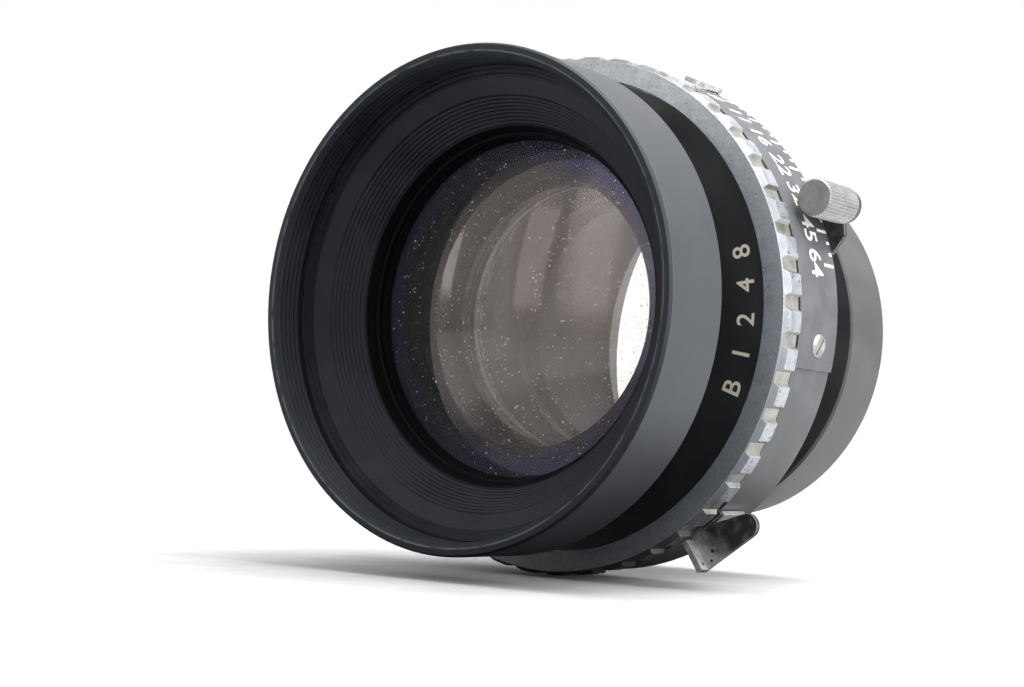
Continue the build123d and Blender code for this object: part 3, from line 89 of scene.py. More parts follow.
# ---------------------------------------------------------------- node graphs
class Graph:
    """Node graph of one finish, with short calls for the nodes that the finishes share."""

    def __init__(self, name: str) -> None:
        """Start an empty material graph.

        Args:
            name: the material's name.
        """
        self.material = bpy.data.materials.new(name)
        self.material.use_nodes = True
        self.tree = self.material.node_tree
        self.tree.nodes.clear()
        self.place = self.node("ShaderNodeTexCoord").outputs["Object"]
        parts = self.node("ShaderNodeSeparateXYZ", {0: self.place})
        self.across, self.axial, self.height = parts.outputs
        squares = [self.math("MULTIPLY", side, side) for side in (self.across, self.height)]
        self.radius = self.math("SQRT", self.math("ADD", *squares))

    def node(self, kind: str, inputs: dict | None = None, **settings: object) -> bpy.types.Node:
        """Add a node.

        Args:
            kind: Blender's type name.
            inputs: socket name or number to value or socket.
            settings: attributes of the node.

        Returns:
            The node.
        """
        made = self.tree.nodes.new(kind)
        for key, value in settings.items():
            setattr(made, key, value)
        for key, value in (inputs or {}).items():
            if isinstance(value, Socket):
                self.tree.links.new(value, made.inputs[key])
            elif isinstance(value, tuple) and len(value) == 3 and made.inputs[key].type == "RGBA":
                made.inputs[key].default_value = (*value, 1.0)
            else:
                made.inputs[key].default_value = value
        return made

    def math(self, operation: str, first: Input, second: Input = 0.0) -> Socket:
        """Return the result of one arithmetic node."""
        return self.node("ShaderNodeMath", {0: first, 1: second}, operation=operation).outputs[0]

    def fade(self, value: Input, start: float, end: float) -> Socket:
        """Return 0 where a value is at start and 1 where it is at end, clamped and smooth."""
        made = self.node("ShaderNodeMapRange", {"Value": value, "From Min": start, "From Max": end})
        made.interpolation_type = "SMOOTHSTEP"
        return made.outputs["Result"]

    def mix(self, share: Input, first: Input, second: Input) -> Socket:
        """Return a colour between two others."""
        made = self.node("ShaderNodeMix", data_type="RGBA")
        for key, value in ((0, share), (6, first), (7, second)):
            if isinstance(value, Socket):
                self.tree.links.new(value, made.inputs[key])
            else:
                made.inputs[key].default_value = (*value, 1.0) if isinstance(value, tuple) else value
        return made.outputs[2]

    def blend(self, share: Input, first: Input, second: Input) -> Socket:
        """Return a number between two others."""
        return self.node("ShaderNodeMix", {0: share, 2: first, 3: second}).outputs[0]

    def within(self, radius: float, soft: float) -> Socket:
        """Return 1 inside a radius about the optical axis, fading to 0 over a width outside it."""
        return self.fade(self.radius, radius + soft, radius)

    def noise(self, size: float, detail: float = 4.0, rough: float = 0.55,
              stretch: tuple[float, float, float] = (1, 1, 1)) -> Socket:
        """Return cloudy noise.

        Args:
            size: width of its blots in metres.
            detail: how many finer octaves it has.
            rough: how strong they are.
            stretch: scale of each axis.

        Returns:
            The noise's value, about 0.5 on average.
        """
        spread = self.node("ShaderNodeMapping", {"Vector": self.place, "Scale": stretch})
        settings = {"Vector": spread.outputs[0], "Scale": 1 / size, "Detail": detail, "Roughness": rough}
        return self.node("ShaderNodeTexNoise", settings).outputs["Fac"]

    def specks(self, size: float, share: float, soft: float = 0.02) -> Socket:
        """Return 1 inside scattered round specks.

        Args:
            size: distance between specks in metres.
            share: speck radius as a share of that distance.
            soft: half the width of a speck's blurred rim, as a share of that distance.

        Returns:
            The mask.
        """
        cells = self.node("ShaderNodeTexVoronoi", {"Vector": self.place, "Scale": 1 / size})
        sizes = self.node("ShaderNodeSeparateColor", {0: cells.outputs["Color"]}).outputs[0]
        reach = self.math("MULTIPLY", self.math("POWER", sizes, 3.0), share)
        return self.fade(self.math("SUBTRACT", cells.outputs["Distance"], reach), soft, -soft)

    def edge(self, width: float) -> tuple[Socket, Socket]:
        """Round the edges in shading.

        Args:
            width: radius of the rounding in metres.

        Returns:
            A mask that is 1 on edges, and the rounded normal.
        """
        rounded = self.node("ShaderNodeBevel", {"Radius": width}, samples=6).outputs[0]
        flat = self.node("ShaderNodeNewGeometry").outputs["Normal"]
        same = self.node("ShaderNodeVectorMath", {0: rounded, 1: flat}, operation="DOT_PRODUCT")
        return self.fade(same.outputs["Value"], 0.985, 0.86), rounded

    def bump(self, height: Input, depth: float, normal: Input | None = None) -> Socket:
        """Return a normal shaken by a height of 0 to 1 over a depth in metres."""
        inputs = {"Height": height, "Distance": depth, "Strength": 1.0}
        if normal is not None:
            inputs["Normal"] = normal
        return self.node("ShaderNodeBump", inputs).outputs[0]

    def finish(self, **inputs: Input) -> Material:
        """Close the graph with a principled surface.

        Args:
            inputs: its sockets, with underscores for spaces.

        Returns:
            The material.
        """
        named = {key.replace("_", " "): value for key, value in inputs.items()}
        shader = self.node("ShaderNodeBsdfPrincipled", named)
        return self.close(shader.outputs[0])

    def close(self, surface: Socket) -> Material:
        """Send a surface to the output and return the material."""
        self.node("ShaderNodeOutputMaterial", {"Surface": surface})
        return self.material


# ---------------------------------------------------------------- finishes
@dataclass(frozen=True)
class BlackFinish:
    """Black paint or anodising with a fine grain and rubbed edges, and a deep matt black inside a bore."""

    name: str
    colour: Colour
    rough: float
    wear: float = 0.3
    bare: Colour = (0.30, 0.30, 0.31)
    shine: float = 0.5
    grain: float = 0.004 * MM
    deep_radius: float = 0.0
    deep_black: Colour = (0.004, 0.004, 0.005)
    deep_shine: float = 0.08

    def material(self) -> Material:
        """Return the material."""
        graph = Graph(self.name)
        worn, rounded = graph.edge(0.12 * MM)
        deep = graph.within(self.deep_radius, 0.15 * MM)
        cloud = graph.noise(6 * MM)
        grain = graph.noise(0.12 * MM, 2.0)
        lighter = tuple(1.6 * part + 0.004 for part in self.colour)
        paint = graph.mix(graph.fade(cloud, 0.35, 0.75), self.colour, lighter)
        rubbed = graph.math("MULTIPLY", worn, graph.fade(graph.noise(0.9 * MM), 0.62 - self.wear, 0.70))
        return graph.finish(
            Base_Color=graph.mix(deep, graph.mix(rubbed, paint, self.bare), self.deep_black),
            Specular_IOR_Level=graph.blend(deep, self.shine, self.deep_shine),
            Roughness=graph.blend(graph.fade(cloud, 0.3, 0.8), self.rough, self.rough + 0.10),
            Normal=graph.bump(grain, self.grain, rounded),
        )


@dataclass(frozen=True)
class HoodFinish:
    """Front barrel: satin outside, matt inside, deep black in its bore, rubbed on the rim's inner edge."""

    name: str
    rim: float
    thread_radius: float
    bore_radius: float
    satin: tuple[Colour, Colour] = ((0.030, 0.032, 0.036), (0.040, 0.042, 0.047))
    inner: Colour = (0.016, 0.018, 0.022)
    deep_black: Colour = (0.004, 0.004, 0.005)
    rubbed_edge: Colour = (0.10, 0.11, 0.13)
    shines: tuple[float, float, float] = (0.70, 0.32, 0.08)
    matt_reach: float = 1.12 * MM
    matt_depth: float = 10.2 * MM
    bore_reach: float = 1.2 * MM
    front_depth: float = 0.40 * MM
    lip_reach: float = 0.46 * MM
    lip_depth: float = 0.06 * MM

    def material(self) -> Material:
        """Return the material."""
        graph = Graph(self.name)
        rounded = graph.edge(0.05 * MM)[1]
        depth = graph.math("SUBTRACT", graph.axial, self.rim)
        inside = graph.within(self.thread_radius + self.matt_reach, 0.18 * MM)
        behind = graph.fade(depth, self.matt_depth, self.matt_depth + 0.4 * MM)
        matt = graph.math("MULTIPLY", inside, graph.math("SUBTRACT", 1.0, behind))
        bore = graph.within(self.bore_radius + self.bore_reach, 0.2 * MM)
        front = graph.fade(depth, self.front_depth + 0.1 * MM, self.front_depth)
        matt = graph.math("MAXIMUM", matt, graph.math("MAXIMUM", bore, front))
        turned = graph.noise(0.10 * MM, 2.0, stretch=(0.15, 1, 0.15))
        cloud = graph.noise(9 * MM)
        outside = graph.mix(graph.fade(cloud, 0.3, 0.8), *self.satin)
        paint = graph.mix(bore, graph.mix(matt, outside, self.inner), self.deep_black)
        outer_shine, inner_shine, bore_shine = self.shines
        shine = graph.blend(bore, graph.blend(matt, outer_shine, inner_shine), bore_shine)
        lip = graph.math("MULTIPLY", graph.fade(depth, self.lip_depth + 0.06 * MM, self.lip_depth),
                         graph.within(self.thread_radius + self.lip_reach, 0.1 * MM))
        rubbed = graph.math("MULTIPLY", lip, graph.fade(graph.noise(2.4 * MM), 0.30, 0.55))
        return graph.finish(
            Base_Color=graph.mix(rubbed, paint, self.rubbed_edge),
            Specular_IOR_Level=shine,
            Specular_Tint=(0.88, 0.94, 1.0),
            Roughness=graph.blend(matt, 0.44, 0.50),
            Normal=graph.bump(turned, 0.004 * MM, rounded),
        )


@dataclass(frozen=True)
class DialFinish:
    """Speed ring: satin grey front, painted shade on the slopes that face forward, pitted bright crowns and
    duller recesses.
    """

    name: str
    edge_radius: float
    crown_radius: float
    fronts: tuple[Colour, Colour] = ((0.38, 0.41, 0.44), (0.50, 0.53, 0.56))
    floors: tuple[Colour, Colour] = ((0.28, 0.27, 0.25), (0.44, 0.43, 0.40))
    crowns: tuple[Colour, Colour] = ((0.36, 0.38, 0.41), (0.50, 0.52, 0.55))
    # painted shade for the slopes that face forward
    slope: Colour = (0.20, 0.21, 0.23)
    pit: Colour = (0.14, 0.13, 0.14)
    rubbed_edge: Colour = (0.80, 0.80, 0.82)

    def material(self) -> Material:
        """Return the material."""
        graph = Graph(self.name)
        worn, rounded = graph.edge(0.10 * MM)
        crown = graph.fade(graph.radius, self.crown_radius - 0.12 * MM, self.crown_radius - 0.04 * MM)
        recess = graph.fade(graph.radius, self.edge_radius - 0.02 * MM, self.edge_radius + 0.05 * MM)
        mottle = graph.noise(1.4 * MM, 6.0, 0.65)
        pits = graph.math("MAXIMUM", graph.specks(0.55 * MM, 0.42), graph.specks(0.27 * MM, 0.36))
        cloud = graph.noise(0.45 * MM, 6.0, 0.7)
        front = graph.mix(graph.fade(cloud, 0.3, 0.7), *self.fronts)
        floor = graph.mix(graph.fade(mottle, 0.3, 0.7), *self.floors)
        bright = graph.mix(graph.fade(mottle, 0.3, 0.6), *self.crowns)
        normal = graph.node("ShaderNodeNewGeometry").outputs["Normal"]
        facing = graph.node("ShaderNodeSeparateXYZ", {0: normal}).outputs[1]
        # Slopes whose normal faces forward get the darker colour as painted shade.
        painted_facet_shade = graph.fade(facing, -0.25, -0.5)
        base = graph.mix(recess, front, graph.mix(painted_facet_shade, floor, self.slope))
        base = graph.mix(graph.math("MULTIPLY", crown, graph.math("SUBTRACT", 1.0, painted_facet_shade)), base, bright)
        spotted = graph.math("MULTIPLY", pits, graph.blend(crown, 0.25, 0.75))
        base = graph.mix(spotted, base, self.pit)
        base = graph.mix(graph.math("MULTIPLY", worn, 0.35), base, self.rubbed_edge)
        height = graph.math("SUBTRACT", graph.noise(0.16 * MM, 2.0), pits)
        return graph.finish(
            Base_Color=base,
            Metallic=0.85,
            Roughness=graph.blend(graph.fade(mottle, 0.3, 0.7), 0.30, 0.46),
            Normal=graph.bump(height, 0.012 * MM, rounded),
        )


@dataclass(frozen=True)
class ScaleFinish:
    """Scale strip and case: dark satin enamel with soft smudges and small chips."""

    name: str
    colour: Colour
    rough: float
    chip: Colour = (0.45, 0.45, 0.46)

    def material(self) -> Material:
        """Return the material."""
        graph = Graph(self.name)
        worn, rounded = graph.edge(0.12 * MM)
        smudge = graph.noise(4 * MM, 5.0, 0.6)
        fine = graph.noise(0.09 * MM, 2.0)
        dusty = tuple(1.35 * part + 0.012 for part in self.colour)
        paint = graph.mix(graph.fade(smudge, 0.38, 0.7), self.colour, dusty)
        chips = graph.math("MULTIPLY", worn, graph.fade(graph.noise(0.7 * MM), 0.48, 0.60))
        return graph.finish(
            Base_Color=graph.mix(chips, paint, self.chip),
            Roughness=graph.blend(graph.fade(smudge, 0.3, 0.75), self.rough, self.rough + 0.12),
            Normal=graph.bump(fine, 0.006 * MM, rounded),
        )


@dataclass(frozen=True)
class PlatedFinish:
    """Bright plated or brushed metal with small pits and handling marks."""

    name: str
    colour: Colour
    rough: float
    pits: float = 0.3
    brushing: float = 0.15
    mottle: float = 0.38
    pit: Colour = (0.12, 0.11, 0.10)

    def material(self) -> Material:
        """Return the material."""
        graph = Graph(self.name)
        worn, rounded = graph.edge(0.07 * MM)
        brushed = graph.noise(0.22 * MM, 3.0, 0.6, stretch=(1, self.brushing, 1))
        blots = graph.noise(1.1 * MM, 5.0, 0.6)
        spots = graph.math("MULTIPLY", graph.specks(0.32 * MM, 0.4), self.pits)
        dull = tuple((1 - self.mottle) * part for part in self.colour)
        base = graph.mix(graph.fade(blots, 0.35, 0.7), dull, self.colour)
        base = graph.mix(spots, base, self.pit)
        shine = tuple(min(1.0, 1.25 * part) for part in self.colour)
        return graph.finish(
            Base_Color=graph.mix(graph.math("MULTIPLY", worn, 0.6), base, shine),
            Metallic=0.9,
            Roughness=graph.blend(brushed, self.rough, self.rough + 0.16),
            Normal=graph.bump(brushed, 0.006 * MM, rounded),
        )


@dataclass(frozen=True)
class BlackenedFinish:
    """Blackened steel, brown where the finish is thin, bright on its rubbed edges."""

    name: str
    edge_share: float = 0.9
    blacks: tuple[Colour, Colour] = ((0.045, 0.045, 0.047), (0.11, 0.105, 0.10))
    scuffed: Colour = (0.20, 0.195, 0.19)
    pit: Colour = (0.03, 0.022, 0.018)
    rubbed_edge: Colour = (0.72, 0.71, 0.70)

    def material(self) -> Material:
        """Return the material."""
        graph = Graph(self.name)
        worn, rounded = graph.edge(0.14 * MM)
        rust = graph.noise(1.8 * MM, 6.0, 0.62)
        scuff = graph.noise(0.5 * MM, 4.0, 0.6)
        base = graph.mix(graph.fade(rust, 0.36, 0.62), *self.blacks)
        base = graph.mix(graph.fade(scuff, 0.62, 0.76), base, self.scuffed)
        pits = graph.math("MULTIPLY", graph.specks(0.75 * MM, 0.30), graph.fade(rust, 0.45, 0.60))
        base = graph.mix(pits, base, self.pit)
        rubbed = graph.math("MULTIPLY", worn, graph.fade(scuff, 0.36, 0.52))
        rubbed = graph.math("MULTIPLY", rubbed, self.edge_share)
        return graph.finish(
            Base_Color=graph.mix(rubbed, base, self.rubbed_edge),
            Metallic=0.6,
            Roughness=graph.blend(graph.fade(scuff, 0.3, 0.7), 0.34, 0.52),
            Normal=graph.bump(scuff, 0.012 * MM, rounded),
        )


@dataclass(frozen=True)
class LeverFinish:
    """Cocking lever: black at its tip, turning to lighter pitted steel towards its lowest corner."""

    name: str
    lighter_from: float = 15.6 * MM
    lighter_to: float = 20.2 * MM
    lean: float = -0.45
    blacks: tuple[Colour, Colour] = ((0.045, 0.045, 0.048), (0.16, 0.135, 0.12))
    steels: tuple[Colour, Colour] = ((0.40, 0.40, 0.41), (0.62, 0.62, 0.63))
    pit: Colour = (0.025, 0.018, 0.015)
    rubbed_edge: Colour = (0.80, 0.80, 0.79)

    def material(self) -> Material:
        """Return the material."""
        graph = Graph(self.name)
        worn, rounded = graph.edge(0.12 * MM)
        cloud = graph.noise(2.6 * MM, 5.0, 0.6)
        drift = graph.math("MULTIPLY", graph.math("SUBTRACT", cloud, 0.5), 4 * MM)
        along = graph.math("SUBTRACT", graph.math("MULTIPLY", graph.across, self.lean), graph.height)
        # A lighter steel colour fades in towards the lever's lowest corner.
        bare = graph.fade(graph.math("ADD", along, drift), self.lighter_from, self.lighter_to)
        tarnish = graph.mix(graph.fade(graph.noise(1.1 * MM), 0.45, 0.7), *self.blacks)
        steel = graph.mix(graph.fade(graph.noise(0.8 * MM), 0.3, 0.7), *self.steels)
        base = graph.mix(bare, tarnish, steel)
        pits = graph.math("MULTIPLY", graph.specks(0.80 * MM, 0.34), graph.fade(bare, 0.1, 0.6))
        base = graph.mix(pits, base, self.pit)
        return graph.finish(
            Base_Color=graph.mix(graph.math("MULTIPLY", worn, 0.9), base, self.rubbed_edge),
            Metallic=0.4,
            Roughness=graph.blend(bare, 0.36, 0.48),
            Normal=graph.bump(graph.math("SUBTRACT", cloud, pits), 0.03 * MM, rounded),
        )


@dataclass(frozen=True)
class GlassFinish:
    """Coated glass with a warm reflection, bluer towards its rim, dusty specks, and a haze that is partly
    painted reflection, brown-grey in the middle and purple towards the rim.
    """

    name: str
    reflection: Colour
    rim: Colour
    rim_radius: float
    dust_and_reflection: float
    # Amounts and colours of a haze that is partly real haze and partly painted reflection.
    haze_and_reflection_shares: tuple[float, float, float] = (0.025, 0.045, 0.10)
    haze_and_reflection_colours: tuple[Colour, Colour] = ((0.62, 0.57, 0.54), (0.34, 0.32, 0.44))
    speck: Colour = (0.75, 0.76, 0.82)
    index: float = 1.50

    def material(self) -> Material:
        """Return the material."""
        graph = Graph(self.name)
        cloud = graph.noise(7 * MM)
        coarse, fine = graph.specks(1.1 * MM, 0.15), graph.specks(0.50 * MM, 0.21)
        spots = graph.math("MAXIMUM", coarse, fine)
        shown = graph.math("MULTIPLY", spots, graph.fade(cloud, 0.34, 0.56))
        edge = graph.fade(graph.radius, 0.74 * self.rim_radius, 0.92 * self.rim_radius)
        # The haze is partly painted reflection: brown-grey over the glass and purple towards its rim.
        thin, thick, at_rim = (self.dust_and_reflection * share for share in self.haze_and_reflection_shares)
        haze_and_reflection_film = graph.blend(graph.fade(graph.noise(3 * MM, 6.0), 0.30, 0.8), thin, thick)
        haze_and_reflection_film = graph.math("MAXIMUM", haze_and_reflection_film, graph.math("MULTIPLY", edge, at_rim))
        cover = graph.math("MAXIMUM", graph.math("MULTIPLY", shown, 0.8 * self.dust_and_reflection), haze_and_reflection_film)
        clear = graph.node("ShaderNodeBsdfPrincipled", {
            "Base Color": (1.0, 1.0, 1.0), "Roughness": 0.0, "IOR": self.index, "Transmission Weight": 1.0,
            "Specular Tint": graph.mix(edge, self.reflection, self.rim),
        })
        haze_and_reflection = graph.mix(edge, *self.haze_and_reflection_colours)
        dust_haze_and_reflection = graph.node("ShaderNodeBsdfDiffuse", {"Color": graph.mix(shown, haze_and_reflection, self.speck)})
        mixed = graph.node("ShaderNodeMixShader", {0: cover, 1: clear.outputs[0], 2: dust_haze_and_reflection.outputs[0]})
        return graph.close(mixed.outputs[0])


@dataclass(frozen=True)
class InkFinish:
    """Enamel in engraved marks, slightly broken where it has been rubbed."""

    name: str
    colour: Colour

    def material(self) -> Material:
        """Return the material."""
        graph = Graph(self.name)
        rubbed = graph.fade(graph.noise(0.35 * MM, 4.0), 0.62, 0.72)
        dim = tuple(0.62 * part for part in self.colour)
        return graph.finish(
            Base_Color=graph.mix(rubbed, self.colour, dim),
            Roughness=graph.blend(rubbed, 0.45, 0.6),
            Normal=graph.bump(graph.noise(0.1 * MM, 2.0), 0.004 * MM),
        )


class Slot(Enum):
    """Material slots of the record."""

    BLACK_PAINT = "black_paint"
    INTERIOR = "interior_black"
    CASE = "case_paint"
    SCALE = "scale_paint"
    DIAL = "dial_metal"
    FACE = "face_black"
    BRIGHT = "bright_steel"
    DARK = "dark_steel"
    STEEL = "plain_steel"
    SPRING = "spring_steel"
    BRASS = "brass"
    LEAF = "blade_black"
    INSULATOR = "insulator"
    FRONT_GLASS = "glass_front"
    REAR_GLASS = "glass_rear"


# ---------------------------------------------------------------- mesh helpers
def polar(radius: float, angle: float, axial: float) -> Vector:
    """Return the point at a radius, a dial angle in degrees and an axial place."""
    turn = math.radians(angle)
    return Vector((radius * math.sin(turn), axial, radius * math.cos(turn)))


def show(shape: bmesh.types.BMesh, name: str, material: Material, body: str,
         smooth: bool = True) -> bpy.types.Object:
    """Turn a finished shape into a piece that rides on a body.

    Args:
        shape: the shape, freed afterwards.
        name: the piece's name.
        material: its finish.
        body: the body it rides on.
        smooth: whether its faces are shaded smooth.

    Returns:
        The object.
    """
    mesh = bpy.data.meshes.new(name)
    shape.to_mesh(mesh)
    shape.free()
    mesh.polygons.foreach_set("use_smooth", [smooth] * len(mesh.polygons))
    if smooth:
        mesh.set_sharp_from_angle(angle=PIECE_CREASE)
    mesh.materials.append(material)
    piece = bpy.data.objects.new(name, mesh)
    bpy.context.scene.collection.objects.link(piece)
    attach(piece, body)
    LOG.info("%s: %d faces on %s", name, len(mesh.polygons), body)
    return piece


def spin_profile(shape: bmesh.types.BMesh, steps: int = 144) -> None:
    """Turn a profile in the YZ plane once round the optical axis and close it.

    Args:
        shape: the bmesh that holds the profile.
        steps: how many steps a full turn has.
    """
    geometry = [*shape.verts, *shape.edges]
    bmesh.ops.spin(shape, geom=geometry, cent=(0, 0, 0), axis=(0, 1, 0), angle=TURN, steps=steps,
                   use_merge=True)
    bmesh.ops.remove_doubles(shape, verts=shape.verts, dist=MERGE)
    bmesh.ops.recalc_face_normals(shape, faces=shape.faces)


def closed_profile(corners: Sequence[tuple[float, float]]) -> bmesh.types.BMesh:
    """Return a bmesh with a closed line through (radius, axial place) corners."""
    shape = bmesh.new()
    line = [shape.verts.new((0, axial, radius)) for radius, axial in corners]
    for start, end in zip(line, line[1:] + line[:1]):
        shape.edges.new((start, end))
    return shape


def soft_shading() -> bpy.types.NodeTree:
    """Return geometry nodes that join a node's loose triangles and shade its round faces smooth."""
    tree = bpy.data.node_groups.new("soft_shading", "GeometryNodeTree")
    for side in ("INPUT", "OUTPUT"):
        tree.interface.new_socket("Geometry", in_out=side, socket_type="NodeSocketGeometry")
    start = tree.nodes.new("NodeGroupInput")
    joined = tree.nodes.new("GeometryNodeMergeByDistance")
    joined.inputs["Distance"].default_value = MERGE
    smooth = tree.nodes.new("GeometryNodeSetShadeSmooth")
    angle = tree.nodes.new("GeometryNodeInputMeshEdgeAngle")
    sharp = tree.nodes.new("FunctionNodeCompare")
    sharp.operation = "GREATER_THAN"
    sharp.inputs["B"].default_value = SOLID_CREASE
    creased = tree.nodes.new("GeometryNodeSetShadeSmooth")
    creased.domain = "EDGE"
    creased.inputs["Shade Smooth"].default_value = False
    end = tree.nodes.new("NodeGroupOutput")
    for source, target in (
        (start.outputs[0], joined.inputs["Geometry"]),
        (joined.outputs[0], smooth.inputs["Geometry"]),
        (smooth.outputs[0], creased.inputs["Geometry"]),
        (angle.outputs["Unsigned Angle"], sharp.inputs["A"]),
        (sharp.outputs[0], creased.inputs["Selection"]),
        (creased.outputs[0], end.inputs[0]),
    ):
        tree.links.new(source, target)
    return tree


# ---------------------------------------------------------------- optics
@dataclass
class LensElement:
    """One piece of glass between two spherical faces; a positive bend is centred behind its face."""

    name: str
    stands_for: tuple[str, ...]
    front_bend: float
    rear_bend: float
    slot: Slot
    arc_steps: int = 20
    rim_lean: float = 0.2

    def __post_init__(self) -> None:
        """Take the radius and the outline's ends from the solids."""
        boxes = [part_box(node) for node in self.stands_for]
        self.radius = max(high.x for _, high in boxes)
        self.low = min(low.y for low, _ in boxes)
        self.high = max(high.y for _, high in boxes)

    def sag(self, bend: float) -> float:
        """Return how far a face's edge lies behind its middle."""
        return bend - math.copysign(math.sqrt(bend * bend - self.radius**2), bend)

    def face(self, shape: bmesh.types.BMesh, middle: float, bend: float) -> bmesh.types.BMVert:
        """Draw one face's arc.

        Args:
            shape: the bmesh to draw in.
            middle: axial place of the face on the axis.
            bend: its radius of curvature.

        Returns:
            The vertex at the rim.
        """
        start = shape.verts.new((0, middle, 0))
        swing = -math.asin(self.radius / bend)
        made = bmesh.ops.spin(shape, geom=[start], cent=(0, middle + bend, 0), axis=(1, 0, 0),
                              angle=swing, steps=self.arc_steps)
        return next(item for item in made["geom_last"] if isinstance(item, bmesh.types.BMVert))

    def build(self, finish: Material, edge: Material) -> None:
        """Make the element in place of its solids.

        Args:
            finish: the glass.
            edge: the black paint on its ground rim.
        """
        front = self.low - min(0.0, self.sag(self.front_bend))
        rear = self.high - max(0.0, self.sag(self.rear_bend))
        shape = bmesh.new()
        rims = [self.face(shape, front, self.front_bend), self.face(shape, rear, self.rear_bend)]
        shape.edges.new(rims)
        spin_profile(shape)
        for face in shape.faces:
            face.material_index = int(abs(face.normal.y) < self.rim_lean)
        piece = show(shape, self.name, finish, "lens")
        piece.data.materials.append(edge)
        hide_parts(*self.stands_for)


@dataclass
class Optics:
    """The glass of both cells."""

    outer_bend: float = 62 * MM
    inner_bend: float = 130 * MM
    meniscus_bends: tuple[float, float] = (70 * MM, 140 * MM)
    rear_share: float = 1.1

    def build(self, finishes: dict[Slot, Material]) -> None:
        """Make the four pieces of glass.

        Args:
            finishes: the material of each slot.
        """
        bend, share = self.meniscus_bends, self.rear_share
        front, rear = Slot.FRONT_GLASS, Slot.REAR_GLASS
        elements = (
            LensElement("front_doublet", ("front_crown_element", "front_flint_element"),
                        self.outer_bend, self.inner_bend, front),
            LensElement("front_inner_glass", ("front_meniscus",), bend[0], bend[1], front),
            LensElement("rear_inner_glass", ("rear_meniscus",), -share * bend[1], -share * bend[0], rear),
            LensElement("rear_doublet", ("rear_flint_element", "rear_crown_element"),
                        -share * self.inner_bend, -share * self.outer_bend, rear),
        )
        for element in elements:
            element.build(finishes[element.slot], finishes[Slot.INTERIOR])


# ---------------------------------------------------------------- filter thread
@dataclass
class FilterThread:
    """The fine thread inside the front rim, which the solids carry as a plain wall."""

    pitch: float = 0.75 * MM
    depth: float = 0.30 * MM
    radius: float = 28.6 * MM
    turns: int = 5
    from_rim: float = 0.45 * MM
    buried: float = 0.02 * MM
    crest_from: float = 0.42
    crest_to: float = 0.58

    def ridges(self, start: float) -> bmesh.types.BMesh:
        """Return the outline of a band of ridges that point towards the axis.

        Args:
            start: axial place of the first ridge.

        Returns:
            The closed outline, ready to be spun.
        """
        crest, behind = self.radius - self.depth, self.radius + self.buried
        end = start + self.turns * self.pitch
        corners = [(behind, start)]
        for turn in range(self.turns):
            corners.append((self.radius, start + turn * self.pitch))
            corners.append((crest, start + (turn + self.crest_from) * self.pitch))
            corners.append((crest, start + (turn + self.crest_to) * self.pitch))
        corners.append((self.radius, end))
        corners.append((behind, end))
        return closed_profile(corners)

    def build(self, finish: Material) -> None:
        """Make the thread.

        Args:
            finish: its matt black.
        """
        shape = self.ridges(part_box("front_barrel")[0].y + self.from_rim)
        spin_profile(shape)
        show(shape, "filter_thread", finish, "lens")


# ---------------------------------------------------------------- marks
@dataclass
class Marks:
    """Engraved numerals and strokes, laid on the metal they belong to."""

    shape: bmesh.types.BMesh
    boldness: float = 0.012

    @staticmethod
    def round_the_strip(radius: float, angle: float, axial: float) -> Placing:
        """Return a placing on a cylinder: words run with the dial angle, their tops to the rear."""
        def put(flat: Vector) -> Vector:
            """Return the place of one flat point."""
            return polar(radius + MARK_LIFT, angle + math.degrees(flat.x / radius), axial + flat.y)
        return put

    @staticmethod
    def on_the_face(radius: float, angle: float, axial: float, slope: float = 0.0) -> Placing:
        """Return a placing on a front face: words run against the dial angle, their tops to the axis."""
        def put(flat: Vector) -> Vector:
            """Return the place of one flat point."""
            rise = MARK_LIFT + slope * flat.y
            return polar(radius - flat.y, angle - math.degrees(flat.x / radius), axial - rise)
        return put

    def words(self, text: str, height: float, narrow: float, place: Placing) -> None:
        """Add a numeral or word.

        Args:
            text: what it says.
            height: height of its figures in metres.
            narrow: width as a share of the font's own.
            place: where its flat points go.
        """
        font = bpy.data.curves.new("numeral", "FONT")
        font.body, font.align_x, font.align_y = text, "CENTER", "CENTER"
        font.resolution_u, font.offset = 4, self.boldness
        holder = bpy.data.objects.new("numeral", font)
        bpy.context.scene.collection.objects.link(holder)
        mesh = bpy.data.meshes.new_from_object(holder)
        bpy.data.objects.remove(holder)
        lows = [min(point.co[axis] for point in mesh.vertices) for axis in range(2)]
        highs = [max(point.co[axis] for point in mesh.vertices) for axis in range(2)]
        grow = height / (highs[1] - lows[1])
        middle = Vector(((lows[0] + highs[0]) / 2, (lows[1] + highs[1]) / 2, 0))
        for point in mesh.vertices:
            flat = (point.co - middle) * grow
            flat.x *= narrow
            point.co = place(flat)
        self.shape.from_mesh(mesh)
        bpy.data.meshes.remove(mesh)

    def stroke(self, width: float, length: float, place: Placing) -> None:
        """Add a straight stroke.

        Args:
            width: its width in metres.
            length: its length in metres.
            place: where its flat points go.
        """
        made = bmesh.ops.create_grid(self.shape, x_segments=1, y_segments=1, size=0.5)["verts"]
        for point in made:
            point.co = place(Vector((point.co.x * width, point.co.y * length, 0)))


